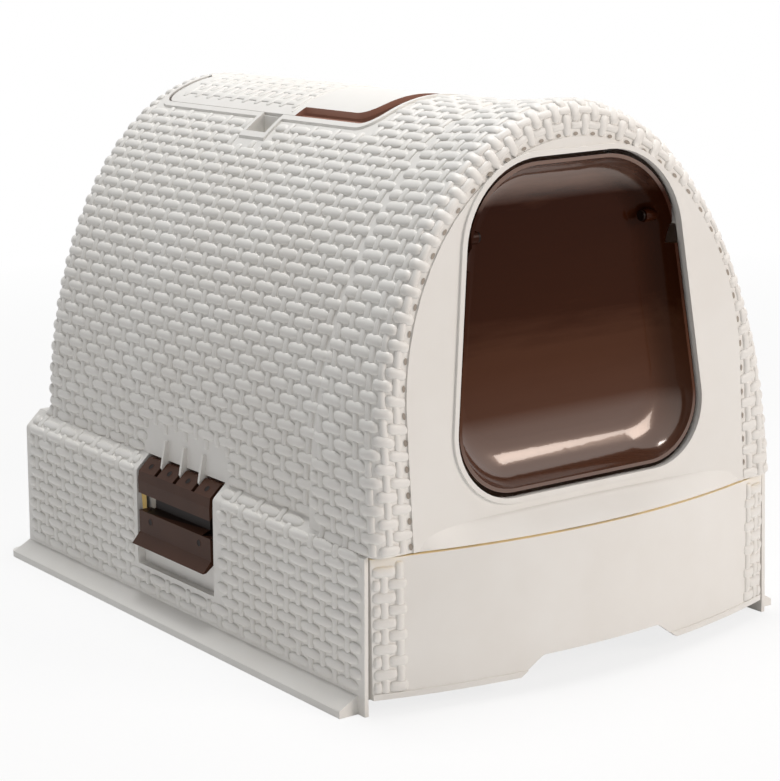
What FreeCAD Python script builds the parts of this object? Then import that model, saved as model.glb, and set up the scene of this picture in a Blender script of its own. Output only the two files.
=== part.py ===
import FreeCAD, Part
import math
import os
import re
import Sketcher
from FreeCAD import Rotation, Vector

# Litter box with an arched hood, a swing flap, a slide-out litter drawer, two side clips and a filter lid.
# Frame: X to the right seen from the front, the front looks along -Y, Z up, floor at zero.
# Driving sizes in millimetres and degrees. A reach is a distance from the origin along Y,
# a rise is a height above the line where the arch springs from the skirts.
driving = {
    # hood skirts, shoulder and foot flange
    "skirt_half_width": 176,
    "skirt_flare": 2,
    "skirt_foot_height": 13,
    "skirt_front_reach": 226,
    "skirt_setback": 3,
    "shoulder_height": 106,
    "shoulder_width": 13,
    "shoulder_rise": 12,
    "shoulder_round": 5,
    "flange_width": 14.5,
    "flange_thickness": 5,
    "flange_rear_width": 9,
    "flange_front_reach": 218,
    "flange_corner_round": 9,
    "flange_edge_round": 2,
    "hood_wall": 3,
    # hood dome and front rim
    "springing_height": 107,
    "dome_rear_reach": 243,
    "dome_rear_rise": 267,
    "dome_rear_round": 22,
    "dome_front_reach": 210,
    "dome_front_flare": 4,
    "dome_front_lift": 5,
    "rim_depth": 80,
    "rim_back_setback": 5,
    "rim_back_rise": 272,
    "rim_front_setback": 2,
    "rim_front_rise": 279,
    "rim_round": 10,
    "front_reach": 235,
    "front_lean": 3.4,
    # bowed lip above the drawer
    "lip_bow": 20,
    "lip_end_inset": 31,
    "lip_rise": 14,
    "lip_crease_bow": 1.5,
    "lip_root": 0.5,
    # smooth panel on the front wall, doorway and its bead
    "door_sill_rise": 22.5,
    "door_height": 222,
    "door_foot_half_width": 111.5,
    "door_head_half_width": 85.5,
    "door_foot_round": 45,
    "door_head_round": 62,
    "bead_width": 3.5,
    "bead_height": 3.2,
    "panel_inset": 29.5,
    "panel_side_rise": 87,
    "panel_head_inset": 24,
    "panel_proud": 1.4,
    # swing flap and its pins
    "flap_gap": 3.2,
    "flap_depth": 24,
    "flap_thickness": 2.4,
    "flap_foot_inset": 28,
    "flap_side_inset": 19,
    "flap_head_inset": 14,
    "flap_axis_rise": 195,
    "flap_axis_depth": 14.2,
    "flap_hub_radius": 4.5,
    "flap_hub_length": 19.5,
    "flap_hub_gap": 0.6,
    "flap_relief": 2.2,
    "flap_relief_drop": 19,
    "flap_relief_rise": 6,
    "boss_gap": 1,
    "boss_radius": 6.4,
    "boss_length": 10,
    "flap_pin_radius": 2,
    "flap_pin_head_radius": 3.6,
    "flap_pin_head_length": 1.5,
    "flap_pin_bite": 8,
    "pin_clearance": 0.05,
    # side clips, their recess and hinge fins
    "clip_centre_y": 14.5,
    "clip_width": 101,
    "clip_thickness": 2.7,
    "clip_proud": 1,
    "clip_bend_drop": 7,
    "clip_nose_height": 18,
    "clip_nose_depth": 7.5,
    "clip_nose_slope": 2.4,
    "clip_bar_height": 14,
    "clip_lip_reach": 7,
    "clip_lip_drop": 8,
    "clip_end_cut": 12,
    "clip_barrel_radius": 3.1,
    "clip_hinge_setback": 8.5,
    "clip_pin_radius": 1.5,
    "clip_pin_margin": 1.5,
    "clip_eye_margin": 1,
    "clip_room": 0.6,
    "clip_swing_room": 1.8,
    "clip_lug_pitch": 26.3,
    "clip_slot_width": 4.2,
    "clip_slot_reach": 10.5,
    "fin_width": 2.4,
    "fin_rise": 13,
    "fin_reach": 5.4,
    "fin_root": 4,
    "recess_depth": 4.5,
    "recess_margin": 3.5,
    "recess_floor_height": 35,
    "recess_frame": 3,
    "recess_shelf_height": 66,
    "recess_head_rise": 3,
    # base tray
    "base_side_gap": 3.5,
    "base_wall": 3,
    "drawer_front_gap": 3,
    "base_rear_gap": 4,
    "base_rim_height": 96,
    "base_rim_width": 3,
    "base_rim_thickness": 3.5,
    "base_corner_round": 16,
    "catch_gap": 0.6,
    "runner_height": 5,
    "runner_width": 6,
    "runner_pitch": 92,
    # litter drawer
    "drawer_wall": 2.8,
    "drawer_side_gap": 2,
    "drawer_rear_gap": 5,
    "drawer_tray_front_reach": 206,
    "drawer_tray_height": 90,
    "drawer_corner_round": 22,
    "drawer_floor_round": 8,
    "drawer_rim_width": 1.2,
    "drawer_rim_thickness": 3,
    "fascia_gap": 1,
    "fascia_foot_height": 10.4,
    "fascia_wall": 3,
    "seam_gap": 1.5,
    "fascia_bead_height": 4,
    "fascia_bead_proud": 1,
    "notch_height": 12.5,
    "notch_foot_half_width": 69,
    "notch_head_half_width": 51,
    "notch_round": 8,
    # roof mouth, filter lid and finger pockets
    "mouth_half_width": 58.5,
    "mouth_round": 14,
    "mouth_bead_width": 4,
    "mouth_bead_height": 1.8,
    "finger_well_length": 18,
    "lid_side_gap": 1.5,
    "lid_rear_reach": 211.5,
    "lid_rear_gap": 2.7,
    "lid_length": 186.5,
    "lid_thickness": 4,
    "lid_crown": 1,
    "lid_rear_round": 12,
    "lid_lip_half_width": 47,
    "lid_lip_length": 79,
    "lid_lip_round": 14,
    "lid_knuckle_radius": 1.4,
    "lid_knuckle_gap": 1,
    "lid_knuckle_rise": 0.5,
    "tongue_half_width": 14,
    "tongue_reach": 9,
    "tongue_root": 8,
    "tongue_root_width": 6,
    "tongue_thickness": 2.8,
    "tongue_gap": 1.4,
    "pocket_width": 16.5,
    "pocket_front_offset": 13,
    "pocket_length": 26,
    "pocket_depth": 6,
    "pocket_wall": 2,
    # filter tray and filter pad
    "tray_half_width": 52,
    "tray_wall": 2.5,
    "tray_front_gap": 4,
    "tray_rear_gap": 12.5,
    "tray_flange_width": 11,
    "tray_flange_thickness": 2.5,
    "tray_flange_gap": 0.3,
    "tray_floor_drop": 34,
    "well_drop": 14,
    "well_rear_gap": 2,
    "vent_count": 8,
    "vent_width": 7,
    "vent_half_length": 40,
    "pad_thickness": 12,
    "pad_gap": 1,
    "pad_round": 3,
    # cuts run past the faces they open
    "overrun": 20,
}

# Sizes that follow from the driving ones
derived = {
    "foot_half_width": "skirt_half_width + skirt_flare",
    "flange_half_width": "foot_half_width + flange_width",
    "skirt_rear_reach": "dome_rear_reach + skirt_setback",
    "flange_rear_reach": "skirt_rear_reach + flange_rear_width",
    "shoulder_top": "shoulder_height + shoulder_rise",
    "dome_rear_half_width": "skirt_half_width - shoulder_width",
    "dome_front_half_width": "dome_rear_half_width + dome_front_flare",
    "dome_front_rise": "dome_rear_rise + dome_front_lift",
    "rim_back_reach": "front_reach - rim_depth",
    "crown_height": "springing_height + dome_rear_rise",
    "panel_half_width": "skirt_half_width - rim_front_setback - panel_inset",
    "bow_reach": "front_reach + lip_bow",
    "bow_half_width": "skirt_half_width - lip_end_inset",
    "bow_radius": "(bow_half_width * bow_half_width / lip_bow + lip_bow) / 2",
    "skirt_inner_half": "skirt_half_width - hood_wall",
    "mouth_rear_reach": "lid_rear_reach + lid_rear_gap",
    "lid_half_width": "mouth_half_width - lid_side_gap",
    "lid_front_reach": "lid_rear_reach - lid_length",
    "lip_front_reach": "lid_lip_length - lid_front_reach",
    "mouth_front_reach": "lip_front_reach + finger_well_length",
    "roof_floor": "springing_height + dome_rear_rise * roof_floor_share",
    "flap_axis_y": "flap_axis_rise * sin(front_lean) + flap_axis_depth * cos(front_lean) - front_reach",
    "flap_axis_z": "springing_height + flap_axis_rise * cos(front_lean) - flap_axis_depth * sin(front_lean)",
    "door_slope": "(door_foot_half_width - door_head_half_width) / door_height",
    "door_half_at_axis": "door_foot_half_width - door_slope * (flap_axis_rise - door_sill_rise)",
    "boss_inner": "door_half_at_axis + boss_gap",
    "hub_outer": "boss_inner - flap_hub_gap",
    "recess_floor_half": "skirt_half_width - recess_depth",
    "recess_back_half": "recess_floor_half - recess_frame",
    "recess_front_y": "clip_centre_y - clip_width / 2 - recess_margin",
    "recess_rear_y": "clip_centre_y + clip_width / 2 + recess_margin",
    "clip_front_y": "clip_centre_y - clip_width / 2",
    "clip_rear_y": "clip_centre_y + clip_width / 2",
    "shoulder_slant": "sqrt(shoulder_width * shoulder_width + shoulder_rise * shoulder_rise)",
    "slant_out": "shoulder_rise / shoulder_slant",
    "slant_up": "shoulder_width / shoulder_slant",
    "hinge_skin_x": "skirt_half_width - clip_hinge_setback",
    "hinge_skin_z": "shoulder_height + clip_hinge_setback * shoulder_rise / shoulder_width",
    "clip_pin_x": "hinge_skin_x - clip_barrel_radius * slant_out",
    "clip_pin_z": "hinge_skin_z - clip_barrel_radius * slant_up",
    "clip_face": "skirt_half_width + clip_proud",
    "clip_back": "clip_face - clip_thickness",
    "nose_face": "clip_face - clip_nose_depth",
    "nose_back": "nose_face - clip_thickness",
    "nose_top": "base_rim_height - base_rim_thickness - catch_gap",
    "nose_foot": "nose_top - clip_nose_height",
    "bar_foot": "nose_foot - clip_bar_height",
    "base_half_width": "recess_back_half - base_side_gap",
    "base_front_reach": "drawer_tray_front_reach - drawer_wall - drawer_front_gap",
    "base_rear_reach": "skirt_rear_reach - hood_wall - base_rear_gap",
    "runner_top": "base_wall + runner_height",
    "drawer_half_width": "base_half_width - base_wall - drawer_side_gap",
    "drawer_rear_reach": "base_rear_reach - base_wall - drawer_rear_gap",
    "drawer_top": "springing_height - seam_gap",
    "drawer_rim_z": "runner_top + drawer_tray_height",
    "fascia_half_width": "skirt_inner_half - fascia_gap",
    "pocket_front_y": "lid_front_reach + pocket_front_offset",
    "pocket_rear_y": "pocket_front_y + pocket_length",
    "pocket_outer": "mouth_half_width + pocket_width",
    "pocket_lean": "pocket_outer / dome_rear_half_width",
    "pocket_brim": "springing_height + dome_rear_rise * sqrt(1 - pocket_lean * pocket_lean)",
    "pocket_floor": "pocket_brim - pocket_depth",
    "tray_front_reach": "mouth_front_reach - tray_front_gap",
    "tray_rear_reach": "lid_rear_reach - tray_rear_gap",
    "tray_skin": "hood_wall + tray_flange_gap",
    "tray_floor": "crown_height - tray_floor_drop",
    "tray_inner_half": "tray_half_width - tray_wall",
    "well_rear_reach": "lid_front_reach + well_rear_gap",
    "chamber_front": "well_rear_reach + tray_wall",
    "chamber_rear": "tray_rear_reach - tray_wall",
    "tongue_top": "crown_height - hood_wall - tongue_gap",
}

# Shares of other sizes
shares = {
    "roof_floor_share": 0.6,
    "vent_field_share": 0.9,
    "dish_round_share": 0.6,
}

# Depth and inset of the flap's sections as shares of the whole, from its rim to its flat back
DISH_SHARES = [(0, 0), (0.38, 0.1), (0.67, 0.28), (0.86, 0.5), (0.96, 0.74), (1, 1)]

document = FreeCAD.newDocument("LitterBox")
sheet = document.addObject("Spreadsheet::Sheet", "Sizes")
cells = {**driving, **shares}
for row, (alias, number) in enumerate(cells.items(), 1):
    sheet.set(f"A{row}", alias)
    sheet.set(f"B{row}", str(number))
    sheet.setAlias(f"B{row}", alias)
document.recompute()

SIDES = {"left": "-1", "right": "1"}
COINCIDENT = 0.001
NEARBY = 0.01
ALIGNED_SHARE = 0.999
subparts = []


def formula(text):
    """A sheet expression, from a sum written in the names above."""
    def expand(match):
        word = match.group(0)
        if word in derived:
            return "(" + formula(derived[word]) + ")"
        return "Sizes." + word if word in cells else word
    return re.sub(r"[a-z_]+", expand, text)


def size(text):
    """The number that a sum of named sizes gives."""
    return float(sheet.evalExpression(formula(text)))


# Building blocks: primitives, outlines, prisms and booleans bound to the sheet

def box(name, x, y, z):
    block = document.addObject("Part::Box", name)
    for axis, side, (low, high) in zip("xyz", ("Length", "Width", "Height"), (x, y, z)):
        block.setExpression(side, formula(f"({high}) - ({low})"))
        block.setExpression("Placement.Base." + axis, formula(low))
    return block


def side_box(name, side, x, y, z):
    inner, outer = x
    span = (inner, outer) if side == "right" else (f"-({outer})", f"-({inner})")
    return box(f"{name}_{side}", span, y, z)


TURNS = {"x": Rotation(Vector(0, 1, 0), 90), "y": Rotation(Vector(1, 0, 0), -90), "z": Rotation()}


def rod(name, radius, axis, start, length):
    """A cylinder along one axis from its start point."""
    cylinder = document.addObject("Part::Cylinder", name)
    cylinder.Placement = FreeCAD.Placement(Vector(), TURNS[axis])
    cylinder.setExpression("Radius", formula(radius))
    cylinder.setExpression("Height", formula(length))
    for letter, text in zip("xyz", start):
        cylinder.setExpression("Placement.Base." + letter, formula(text))
    return cylinder


def side_rod(name, side, radius, inner, outer, y, z):
    """A cylinder along X on one side of the middle plane."""
    start = inner if side == "right" else f"-({outer})"
    return rod(f"{name}_{side}", radius, "x", (start, y, z), f"({outer}) - ({inner})")


def level_plane(height):
    return formula(f"placement(vector(0; 0; {height}); rotation(vector(1; 0; 0); 0))")


def upright_plane(y):
    return formula(f"placement(vector(0; {y}; 0); rotation(vector(1; 0; 0); 90))")


def front_plane(depth):
    """The leaning plane of the front wall, set back by a depth."""
    y = f"({depth}) * cos(front_lean) - front_reach"
    z = f"springing_height - ({depth}) * sin(front_lean)"
    return formula(f"placement(vector(0; {y}; {z}); rotation(vector(1; 0; 0); 90 - front_lean))")


def outline(name, plane, corners):
    """A closed outline through corners (u, v), or (u, v, radius) where a corner is rounded."""
    sketch = document.addObject("Sketcher::SketchObject", name)
    count = len(corners)
    spots = [Vector(size(corner[0]), size(corner[1]), 0) for corner in corners]
    arrive = list(spots)
    leave = list(spots)
    crests = {}
    for index, corner in enumerate(corners):
        if len(corner) == 3:
            back = (spots[index - 1] - spots[index]).normalize()
            ahead = (spots[(index + 1) % count] - spots[index]).normalize()
            half_angle = back.getAngle(ahead) / 2
            radius = size(corner[2])
            arrive[index] = spots[index] + back * (radius / math.tan(half_angle))
            leave[index] = spots[index] + ahead * (radius / math.tan(half_angle))
            inward = (back + ahead).normalize()
            crests[index] = spots[index] + inward * (radius / math.sin(half_angle) - radius)
    for index in range(count):
        sketch.addGeometry(Part.LineSegment(leave[index], arrive[(index + 1) % count]))
    for index, corner in enumerate(corners):
        before = (index - 1) % count
        if index in crests:
            curve = sketch.addGeometry(Part.ArcOfCircle(arrive[index], crests[index], leave[index]))
            flipped = sketch.getPoint(curve, 1).distanceToPoint(arrive[index]) > COINCIDENT
            first, last = (2, 1) if flipped else (1, 2)
            sketch.addConstraint(Sketcher.Constraint("Tangent", before, 2, curve, first))
            sketch.addConstraint(Sketcher.Constraint("Tangent", curve, last, index, 1))
            bind(sketch, Sketcher.Constraint("Radius", curve, size(corner[2])), corner[2])
            point = sketch.addGeometry(Part.Point(spots[index]), True)
            sketch.addConstraint(Sketcher.Constraint("PointOnObject", point, 1, before))
            sketch.addConstraint(Sketcher.Constraint("PointOnObject", point, 1, index))
            place(sketch, point, corner)
        else:
            sketch.addConstraint(Sketcher.Constraint("Coincident", before, 2, index, 1))
            place(sketch, index, corner)
    sketch.setExpression("Placement", plane)
    return sketch


def bind(sketch, rule, text):
    """Adds a constraint whose size follows the sheet."""
    number = sketch.addConstraint(rule)
    sketch.setExpression(f"Constraints[{number}]", formula(text))


def place(sketch, geometry, corner):
    """Holds a geometry's first point at its two sizes."""
    for kind, text, axis in zip(("DistanceX", "DistanceY"), corner, (-2, -1)):
        if text == "0":
            sketch.addConstraint(Sketcher.Constraint("PointOnObject", geometry, 1, axis))
        else:
            bind(sketch, Sketcher.Constraint(kind, -1, 1, geometry, 1, size(text)), text)


def segment(name, plane, half_width, chord, crest, radius):
    """A shallow segment: a straight chord closed by a bow."""
    sketch = document.addObject("Sketcher::SketchObject", name)
    right = Vector(size(half_width), size(chord), 0)
    left = Vector(-right.x, right.y, 0)
    sketch.addGeometry(Part.LineSegment(right, left))
    sketch.addGeometry(Part.ArcOfCircle(left, Vector(0, size(crest), 0), right))
    for point in (1, 2):
        nearer = 1 if sketch.getPoint(0, point).distanceToPoint(sketch.getPoint(1, 1)) < COINCIDENT else 2
        sketch.addConstraint(Sketcher.Constraint("Coincident", 0, point, 1, nearer))
    place(sketch, 0, (half_width, chord))
    sketch.addConstraint(Sketcher.Constraint("Symmetric", 0, 1, 0, 2, -2))
    bind(sketch, Sketcher.Constraint("Radius", 1, size(radius)), radius)
    sketch.setExpression("Placement", plane)
    return sketch


def prism(sketch, forward, backward="0"):
    solid = document.addObject("Part::Extrusion", sketch.Name + "_prism")
    solid.Base = sketch
    solid.DirMode = "Normal"
    solid.Solid = True
    solid.setExpression("LengthFwd", formula(forward))
    solid.setExpression("LengthRev", formula(backward))
    return solid


def loft(name, sections, straight=True):
    solid = document.addObject("Part::Loft", name)
    solid.Sections = sections
    solid.Solid = True
    solid.Ruled = straight
    return solid


def rounded(base, radius, chosen):
    """Rounds the edges that a test picks, all with one named radius."""
    document.recompute()
    picks = [number for number, edge in enumerate(base.Shape.Edges, 1) if chosen(edge)]
    if not picks:
        raise ValueError("no edge to round on " + base.Name)
    fillet = document.addObject("Part::Fillet", base.Name + "_round")
    fillet.Base = base
    fillet.Edges = [(number, size(radius), size(radius)) for number in picks]
    return fillet


def cut(name, base, tool):
    result = document.addObject("Part::Cut", name)
    result.Base = base
    result.Tool = tool
    return result


def common(name, base, tool):
    result = document.addObject("Part::Common", name)
    result.Base = base
    result.Tool = tool
    return result


def fuse(name, pieces):
    result = document.addObject("Part::MultiFuse", name)
    result.Shapes = pieces
    return result


def subpart(label, feature):
    feature.Label = label
    subparts.append(feature)
    return feature


# Tests that pick edges by direction and place

def runs_along(edge, direction):
    if edge.Curve.TypeId != "Part::GeomLine":
        return False
    return abs(edge.tangentAt(edge.FirstParameter).dot(direction)) > ALIGNED_SHARE


def edge_middle(edge):
    return edge.BoundBox.Center


def near(number, text):
    return abs(number - size(text)) < NEARBY


UP = Vector(0, 0, 1)
ACROSS = Vector(1, 0, 0)
ALONG = Vector(0, 1, 0)


# Arches of the hood: half ellipses standing across Y, lofted into solids

def arch(name, half_width, rise, y, lean="0", lift="0"):
    """A half ellipse on the springing line or lifted above it, leaning back by an angle."""
    sketch = document.addObject("Sketcher::SketchObject", name)
    whole = Part.Ellipse(Vector(0, size(rise), 0), Vector(-size(half_width), 0, 0), Vector())
    curve = sketch.addGeometry(Part.ArcOfEllipse(whole, -math.pi / 2, math.pi / 2))
    chord = sketch.addGeometry(Part.LineSegment(sketch.getPoint(curve, 2), sketch.getPoint(curve, 1)))
    sketch.addConstraint(Sketcher.Constraint("Coincident", curve, 2, chord, 1))
    sketch.addConstraint(Sketcher.Constraint("Coincident", curve, 1, chord, 2))
    sketch.exposeInternalGeometry(curve)
    tall = chord + 1
    broad = chord + 2
    sketch.addConstraint(Sketcher.Constraint("Coincident", curve, 3, -1, 1))
    sketch.addConstraint(Sketcher.Constraint("Vertical", tall))
    sketch.addConstraint(Sketcher.Constraint("Horizontal", chord))
    sketch.addConstraint(Sketcher.Constraint("PointOnObject", chord, 1, -1))
    low = 1 if sketch.getPoint(tall, 1).y < 0 else 2
    left = 1 if sketch.getPoint(broad, 1).x < 0 else 2
    for kind, line, first, text in (("DistanceY", tall, low, rise), ("DistanceX", broad, left, half_width)):
        whole_text = f"2 * ({text})"
        bind(sketch, Sketcher.Constraint(kind, line, first, line, 3 - first, size(whole_text)), whole_text)
    turn = f"rotation(vector(1; 0; 0); 90 - ({lean}))"
    foot_y = f"{y} + ({lift}) * sin({lean})"
    foot_z = f"springing_height + ({lift}) * cos({lean})"
    sketch.setExpression("Placement", formula(f"placement(vector(0; {foot_y}; {foot_z}); {turn})"))
    return sketch


def dome_solid(name, growth):
    """The dome moved outwards by a growth, filled down to the springing line."""
    rear = arch(name + "_rear", f"dome_rear_half_width + ({growth})", f"dome_rear_rise + ({growth})",
                "dome_rear_reach")
    front = arch(name + "_front", f"dome_front_half_width + ({growth})", f"dome_front_rise + ({growth})",
                 "-dome_front_reach")
    return loft(name, [rear, front])


def curved_end(edge, y_low, y_high):
    """True for an arched edge that lies between two places along Y."""
    inside = edge.BoundBox.YMin > size(y_low) and edge.BoundBox.YMax < size(y_high)
    return inside and edge.Curve.TypeId == "Part::GeomEllipse"


# Hood

def hood_outside():
    dome = dome_solid("dome", "0")
    dome = rounded(dome, "dome_rear_round", lambda edge: curved_end(edge, "0", "flange_rear_reach"))
    rim_back = arch("rim_back", "skirt_half_width - rim_back_setback", "rim_back_rise", "-rim_back_reach")
    rim_front = arch("rim_front", "skirt_half_width - rim_front_setback", "rim_front_rise", "-front_reach",
                     "front_lean")
    rim = loft("rim", [rim_back, rim_front])
    rim = rounded(rim, "rim_round", lambda edge: curved_end(edge, "-bow_reach", "-rim_back_reach"))
    section = [
        ("flange_half_width", "0"), ("flange_half_width", "flange_thickness"),
        ("foot_half_width", "skirt_foot_height"), ("skirt_half_width", "shoulder_height"),
        ("dome_rear_half_width", "shoulder_top"),
    ]
    mirrored = [(f"-({u})", v) for u, v in reversed(section)]
    skirt = prism(outline("skirt", upright_plane("skirt_rear_reach"), section + mirrored),
                  "skirt_rear_reach + flange_front_reach")
    skirt = rounded(skirt, "shoulder_round",
                    lambda edge: runs_along(edge, ALONG) and near(edge_middle(edge).z, "shoulder_height"))
    skirt = rounded(skirt, "flange_edge_round",
                    lambda edge: runs_along(edge, ALONG) and near(edge_middle(edge).z, "flange_thickness"))
    cheek = [("foot_half_width", "0"), ("foot_half_width", "skirt_foot_height"),
             ("skirt_half_width", "shoulder_height"),
             ("skirt_half_width - rim_front_setback", "springing_height")]
    cheek_mirrored = [(f"-({u})", v) for u, v in reversed(cheek)]
    cheeks = prism(outline("cheeks", upright_plane("-flange_front_reach"), cheek + cheek_mirrored),
                   "skirt_front_reach - flange_front_reach")
    flange = box("flange", ("-flange_half_width", "flange_half_width"),
                 ("-flange_front_reach", "flange_rear_reach"), ("0", "flange_thickness"))
    flange = rounded(flange, "flange_corner_round", lambda edge: runs_along(edge, UP))
    return fuse("hood_outside", [dome, rim, skirt, cheeks, flange])


def hood_void():
    rear = arch("void_rear", "dome_rear_half_width - hood_wall", "dome_rear_rise - hood_wall",
                "dome_rear_reach - hood_wall")
    front = arch("void_front", "dome_front_half_width - hood_wall", "dome_front_rise - hood_wall",
                 "-dome_front_reach")
    dome = rounded(loft("dome_void", [rear, front]), "dome_rear_round - hood_wall",
                   lambda edge: curved_end(edge, "0", "flange_rear_reach"))
    back = arch("rim_void_back", "skirt_half_width - rim_back_setback - hood_wall",
                "rim_back_rise - hood_wall",
                "-rim_back_reach - hood_wall")
    face = arch("rim_void_face", "skirt_half_width - rim_front_setback - hood_wall",
                "rim_front_rise - hood_wall",
                "hood_wall - front_reach", "front_lean")
    rim = rounded(loft("rim_void", [back, face]), "rim_round - hood_wall",
                  lambda edge: curved_end(edge, "-bow_reach", "-rim_back_reach - hood_wall"))
    inner_shoulder = "hood_wall * slant_up"
    section = [
        ("foot_half_width - hood_wall", "-overrun"),
        ("foot_half_width - hood_wall", "skirt_foot_height"),
        ("skirt_inner_half", f"shoulder_height - {inner_shoulder}"),
        ("dome_rear_half_width - hood_wall * slant_out", f"shoulder_top - {inner_shoulder}"),
    ]
    mirrored = [(f"-({u})", v) for u, v in reversed(section)]
    skirt = prism(outline("skirt_void", upright_plane("skirt_rear_reach - hood_wall"), section + mirrored),
                  "skirt_rear_reach - hood_wall + rim_back_reach")
    gate = [("foot_half_width - hood_wall", "-overrun"), ("foot_half_width - hood_wall", "skirt_foot_height"),
            ("skirt_inner_half", "springing_height")]
    gate_mirrored = [(f"-({u})", v) for u, v in reversed(gate)]
    mouth = prism(outline("drawer_mouth", upright_plane("-rim_back_reach + overrun"), gate + gate_mirrored),
                  "overrun + rim_depth + lip_bow + overrun")
    return fuse("hood_void", [dome, rim, skirt, mouth])


def lip_solid(name, reach, chord, top_rise, top_bow):
    """A soft flare from a crease on the leaning front wall down to the bowed seam."""
    depth = f"(({reach}) - ({chord}))"
    half = f"sqrt(2 * bow_radius * {depth} - {depth} * {depth})"
    top_chord = f"({chord}) - ({top_rise}) * tan(front_lean)"
    top_radius = f"(2 * bow_radius * {depth} - {depth} * {depth}) / ({top_bow}) / 2 + ({top_bow}) / 2"
    foot = segment(name + "_foot", level_plane("springing_height"), half, f"-({chord})", f"-({reach})",
                   "bow_radius")
    head = segment(name + "_head", level_plane(f"springing_height + {top_rise}"), half, f"-({top_chord})",
                   f"-({top_chord}) - ({top_bow})", top_radius)
    return loft(name, [foot, head])


def door_outline(name, plane, growth):
    foot = f"door_foot_half_width + ({growth})"
    head = f"door_head_half_width + ({growth})"
    low = f"door_sill_rise - ({growth})"
    high = f"door_sill_rise + door_height + ({growth})"
    foot_round = f"door_foot_round + ({growth})"
    head_round = f"door_head_round + ({growth})"
    return outline(name, plane, [(foot, low, foot_round), (head, high, head_round),
                                 (f"-({head})", high, head_round), (f"-({foot})", low, foot_round)])


def front_panel():
    """The smooth raised panel round the doorway: straight sides below, a half ellipse above."""
    head = arch("panel_head", "panel_half_width", "rim_front_rise - panel_head_inset - panel_side_rise",
                "-front_reach", "front_lean", "panel_side_rise")
    foot = outline("panel_foot", front_plane("0"), [
        ("panel_half_width", "0"), ("panel_half_width", "panel_side_rise"),
        ("-panel_half_width", "panel_side_rise"), ("-panel_half_width", "0")])
    return [prism(sketch, "panel_proud", "hood_wall / 2") for sketch in (head, foot)]


def hood_shell():
    shell = cut("hood_walls", hood_outside(), hood_void())
    lip = lip_solid("lip", "bow_reach", "front_reach - lip_root", "lip_rise", "lip_root + lip_crease_bow")
    bead = prism(door_outline("bead", front_plane("0"), "bead_width"), "bead_height", "hood_wall")
    shell = fuse("hood_front", [shell, lip, bead] + front_panel())
    core = lip_solid("lip_core", "bow_reach - hood_wall", "front_reach - 2 * hood_wall",
                     "lip_rise - hood_wall",
                     "hood_wall")
    door = prism(door_outline("door", front_plane("0"), "0"), "bead_height + overrun", "hood_wall + overrun")
    return cut("hood_shell", shell, fuse("front_openings", [core, door]))


def roof_prism(name, corners):
    return prism(outline(name, level_plane("roof_floor"), corners),
                 "crown_height + rim_front_rise - roof_floor")


def roof_mouth(name, growth):
    half = f"mouth_half_width + ({growth})"
    front = f"-mouth_front_reach - ({growth})"
    rear = f"mouth_rear_reach + ({growth})"
    corner = f"mouth_round + ({growth})"
    return roof_prism(name, [(half, front, corner), (half, rear, corner), (f"-({half})", rear, corner),
                             (f"-({half})", front, corner)])


def roof_layer(name, plan, high, low):
    """The part of a plan's prism between two growths of the dome."""
    return cut(name, common(name + "_under", plan, dome_solid(name + "_high", high)),
               dome_solid(name + "_low", low))


def mouth_bead():
    """A smooth raised bead round the roof mouth and its finger pockets."""
    plans = [roof_mouth("mouth_bead_plan", "mouth_bead_width")]
    for side in SIDES:
        plans.append(side_box("pocket_bead", side, ("mouth_half_width", "pocket_outer + mouth_bead_width"),
                              ("pocket_front_y - mouth_bead_width", "pocket_rear_y + mouth_bead_width"),
                              ("roof_floor", "crown_height + overrun")))
    return roof_layer("mouth_bead", fuse("mouth_bead_plans", plans), "mouth_bead_height", "-hood_wall / 2")


def pocket_cup(side):
    """A finger pocket beside the lid: a cup hung under the roof skin."""
    span = ("pocket_front_y - pocket_wall", "pocket_rear_y + pocket_wall")
    cup = side_box("pocket_cup", side, ("mouth_half_width - pocket_wall", "pocket_outer + pocket_wall"), span,
                   ("pocket_floor - pocket_wall", "crown_height"))
    skin = dome_solid(f"pocket_skin_{side}", "-pocket_wall / 2")
    floor = side_box("pocket_shelf", side, ("tray_half_width + tray_flange_gap", "mouth_half_width"), span,
                     ("pocket_floor - pocket_wall", "pocket_floor"))
    return [common(f"pocket_{side}", cup, skin), floor]


def pocket_hollow(side):
    return side_box("pocket_hollow", side, ("tray_half_width", "pocket_outer"),
                    ("pocket_front_y", "pocket_rear_y"),
                    ("pocket_floor", "crown_height + overrun"))


def clip_recess_block(side):
    """Frame and back wall of the recess that takes a side clip."""
    return side_box("recess_block", side, ("recess_back_half", "skirt_half_width - hood_wall / 2"),
                    ("recess_front_y - recess_frame", "recess_rear_y + recess_frame"),
                    ("recess_floor_height - recess_frame", "shoulder_height - shoulder_round"))


def clip_recess_hollow(side):
    """The recess itself, the window behind the clip's nose and room for the hinge barrel."""
    across = ("recess_front_y", "recess_rear_y")
    head = "shoulder_top + recess_head_rise"
    return [
        side_box("recess_hollow", side, ("recess_floor_half", "flange_half_width"), across,
                 ("recess_floor_height", head)),
        side_box("recess_window", side, ("base_half_width", "flange_half_width"), across,
                 ("recess_shelf_height", head)),
        side_box("barrel_room", side, ("clip_pin_x - clip_barrel_radius - clip_room", "flange_half_width"),
                 across,
                 ("recess_shelf_height", "clip_pin_z + clip_barrel_radius + clip_swing_room")),
    ]


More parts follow.
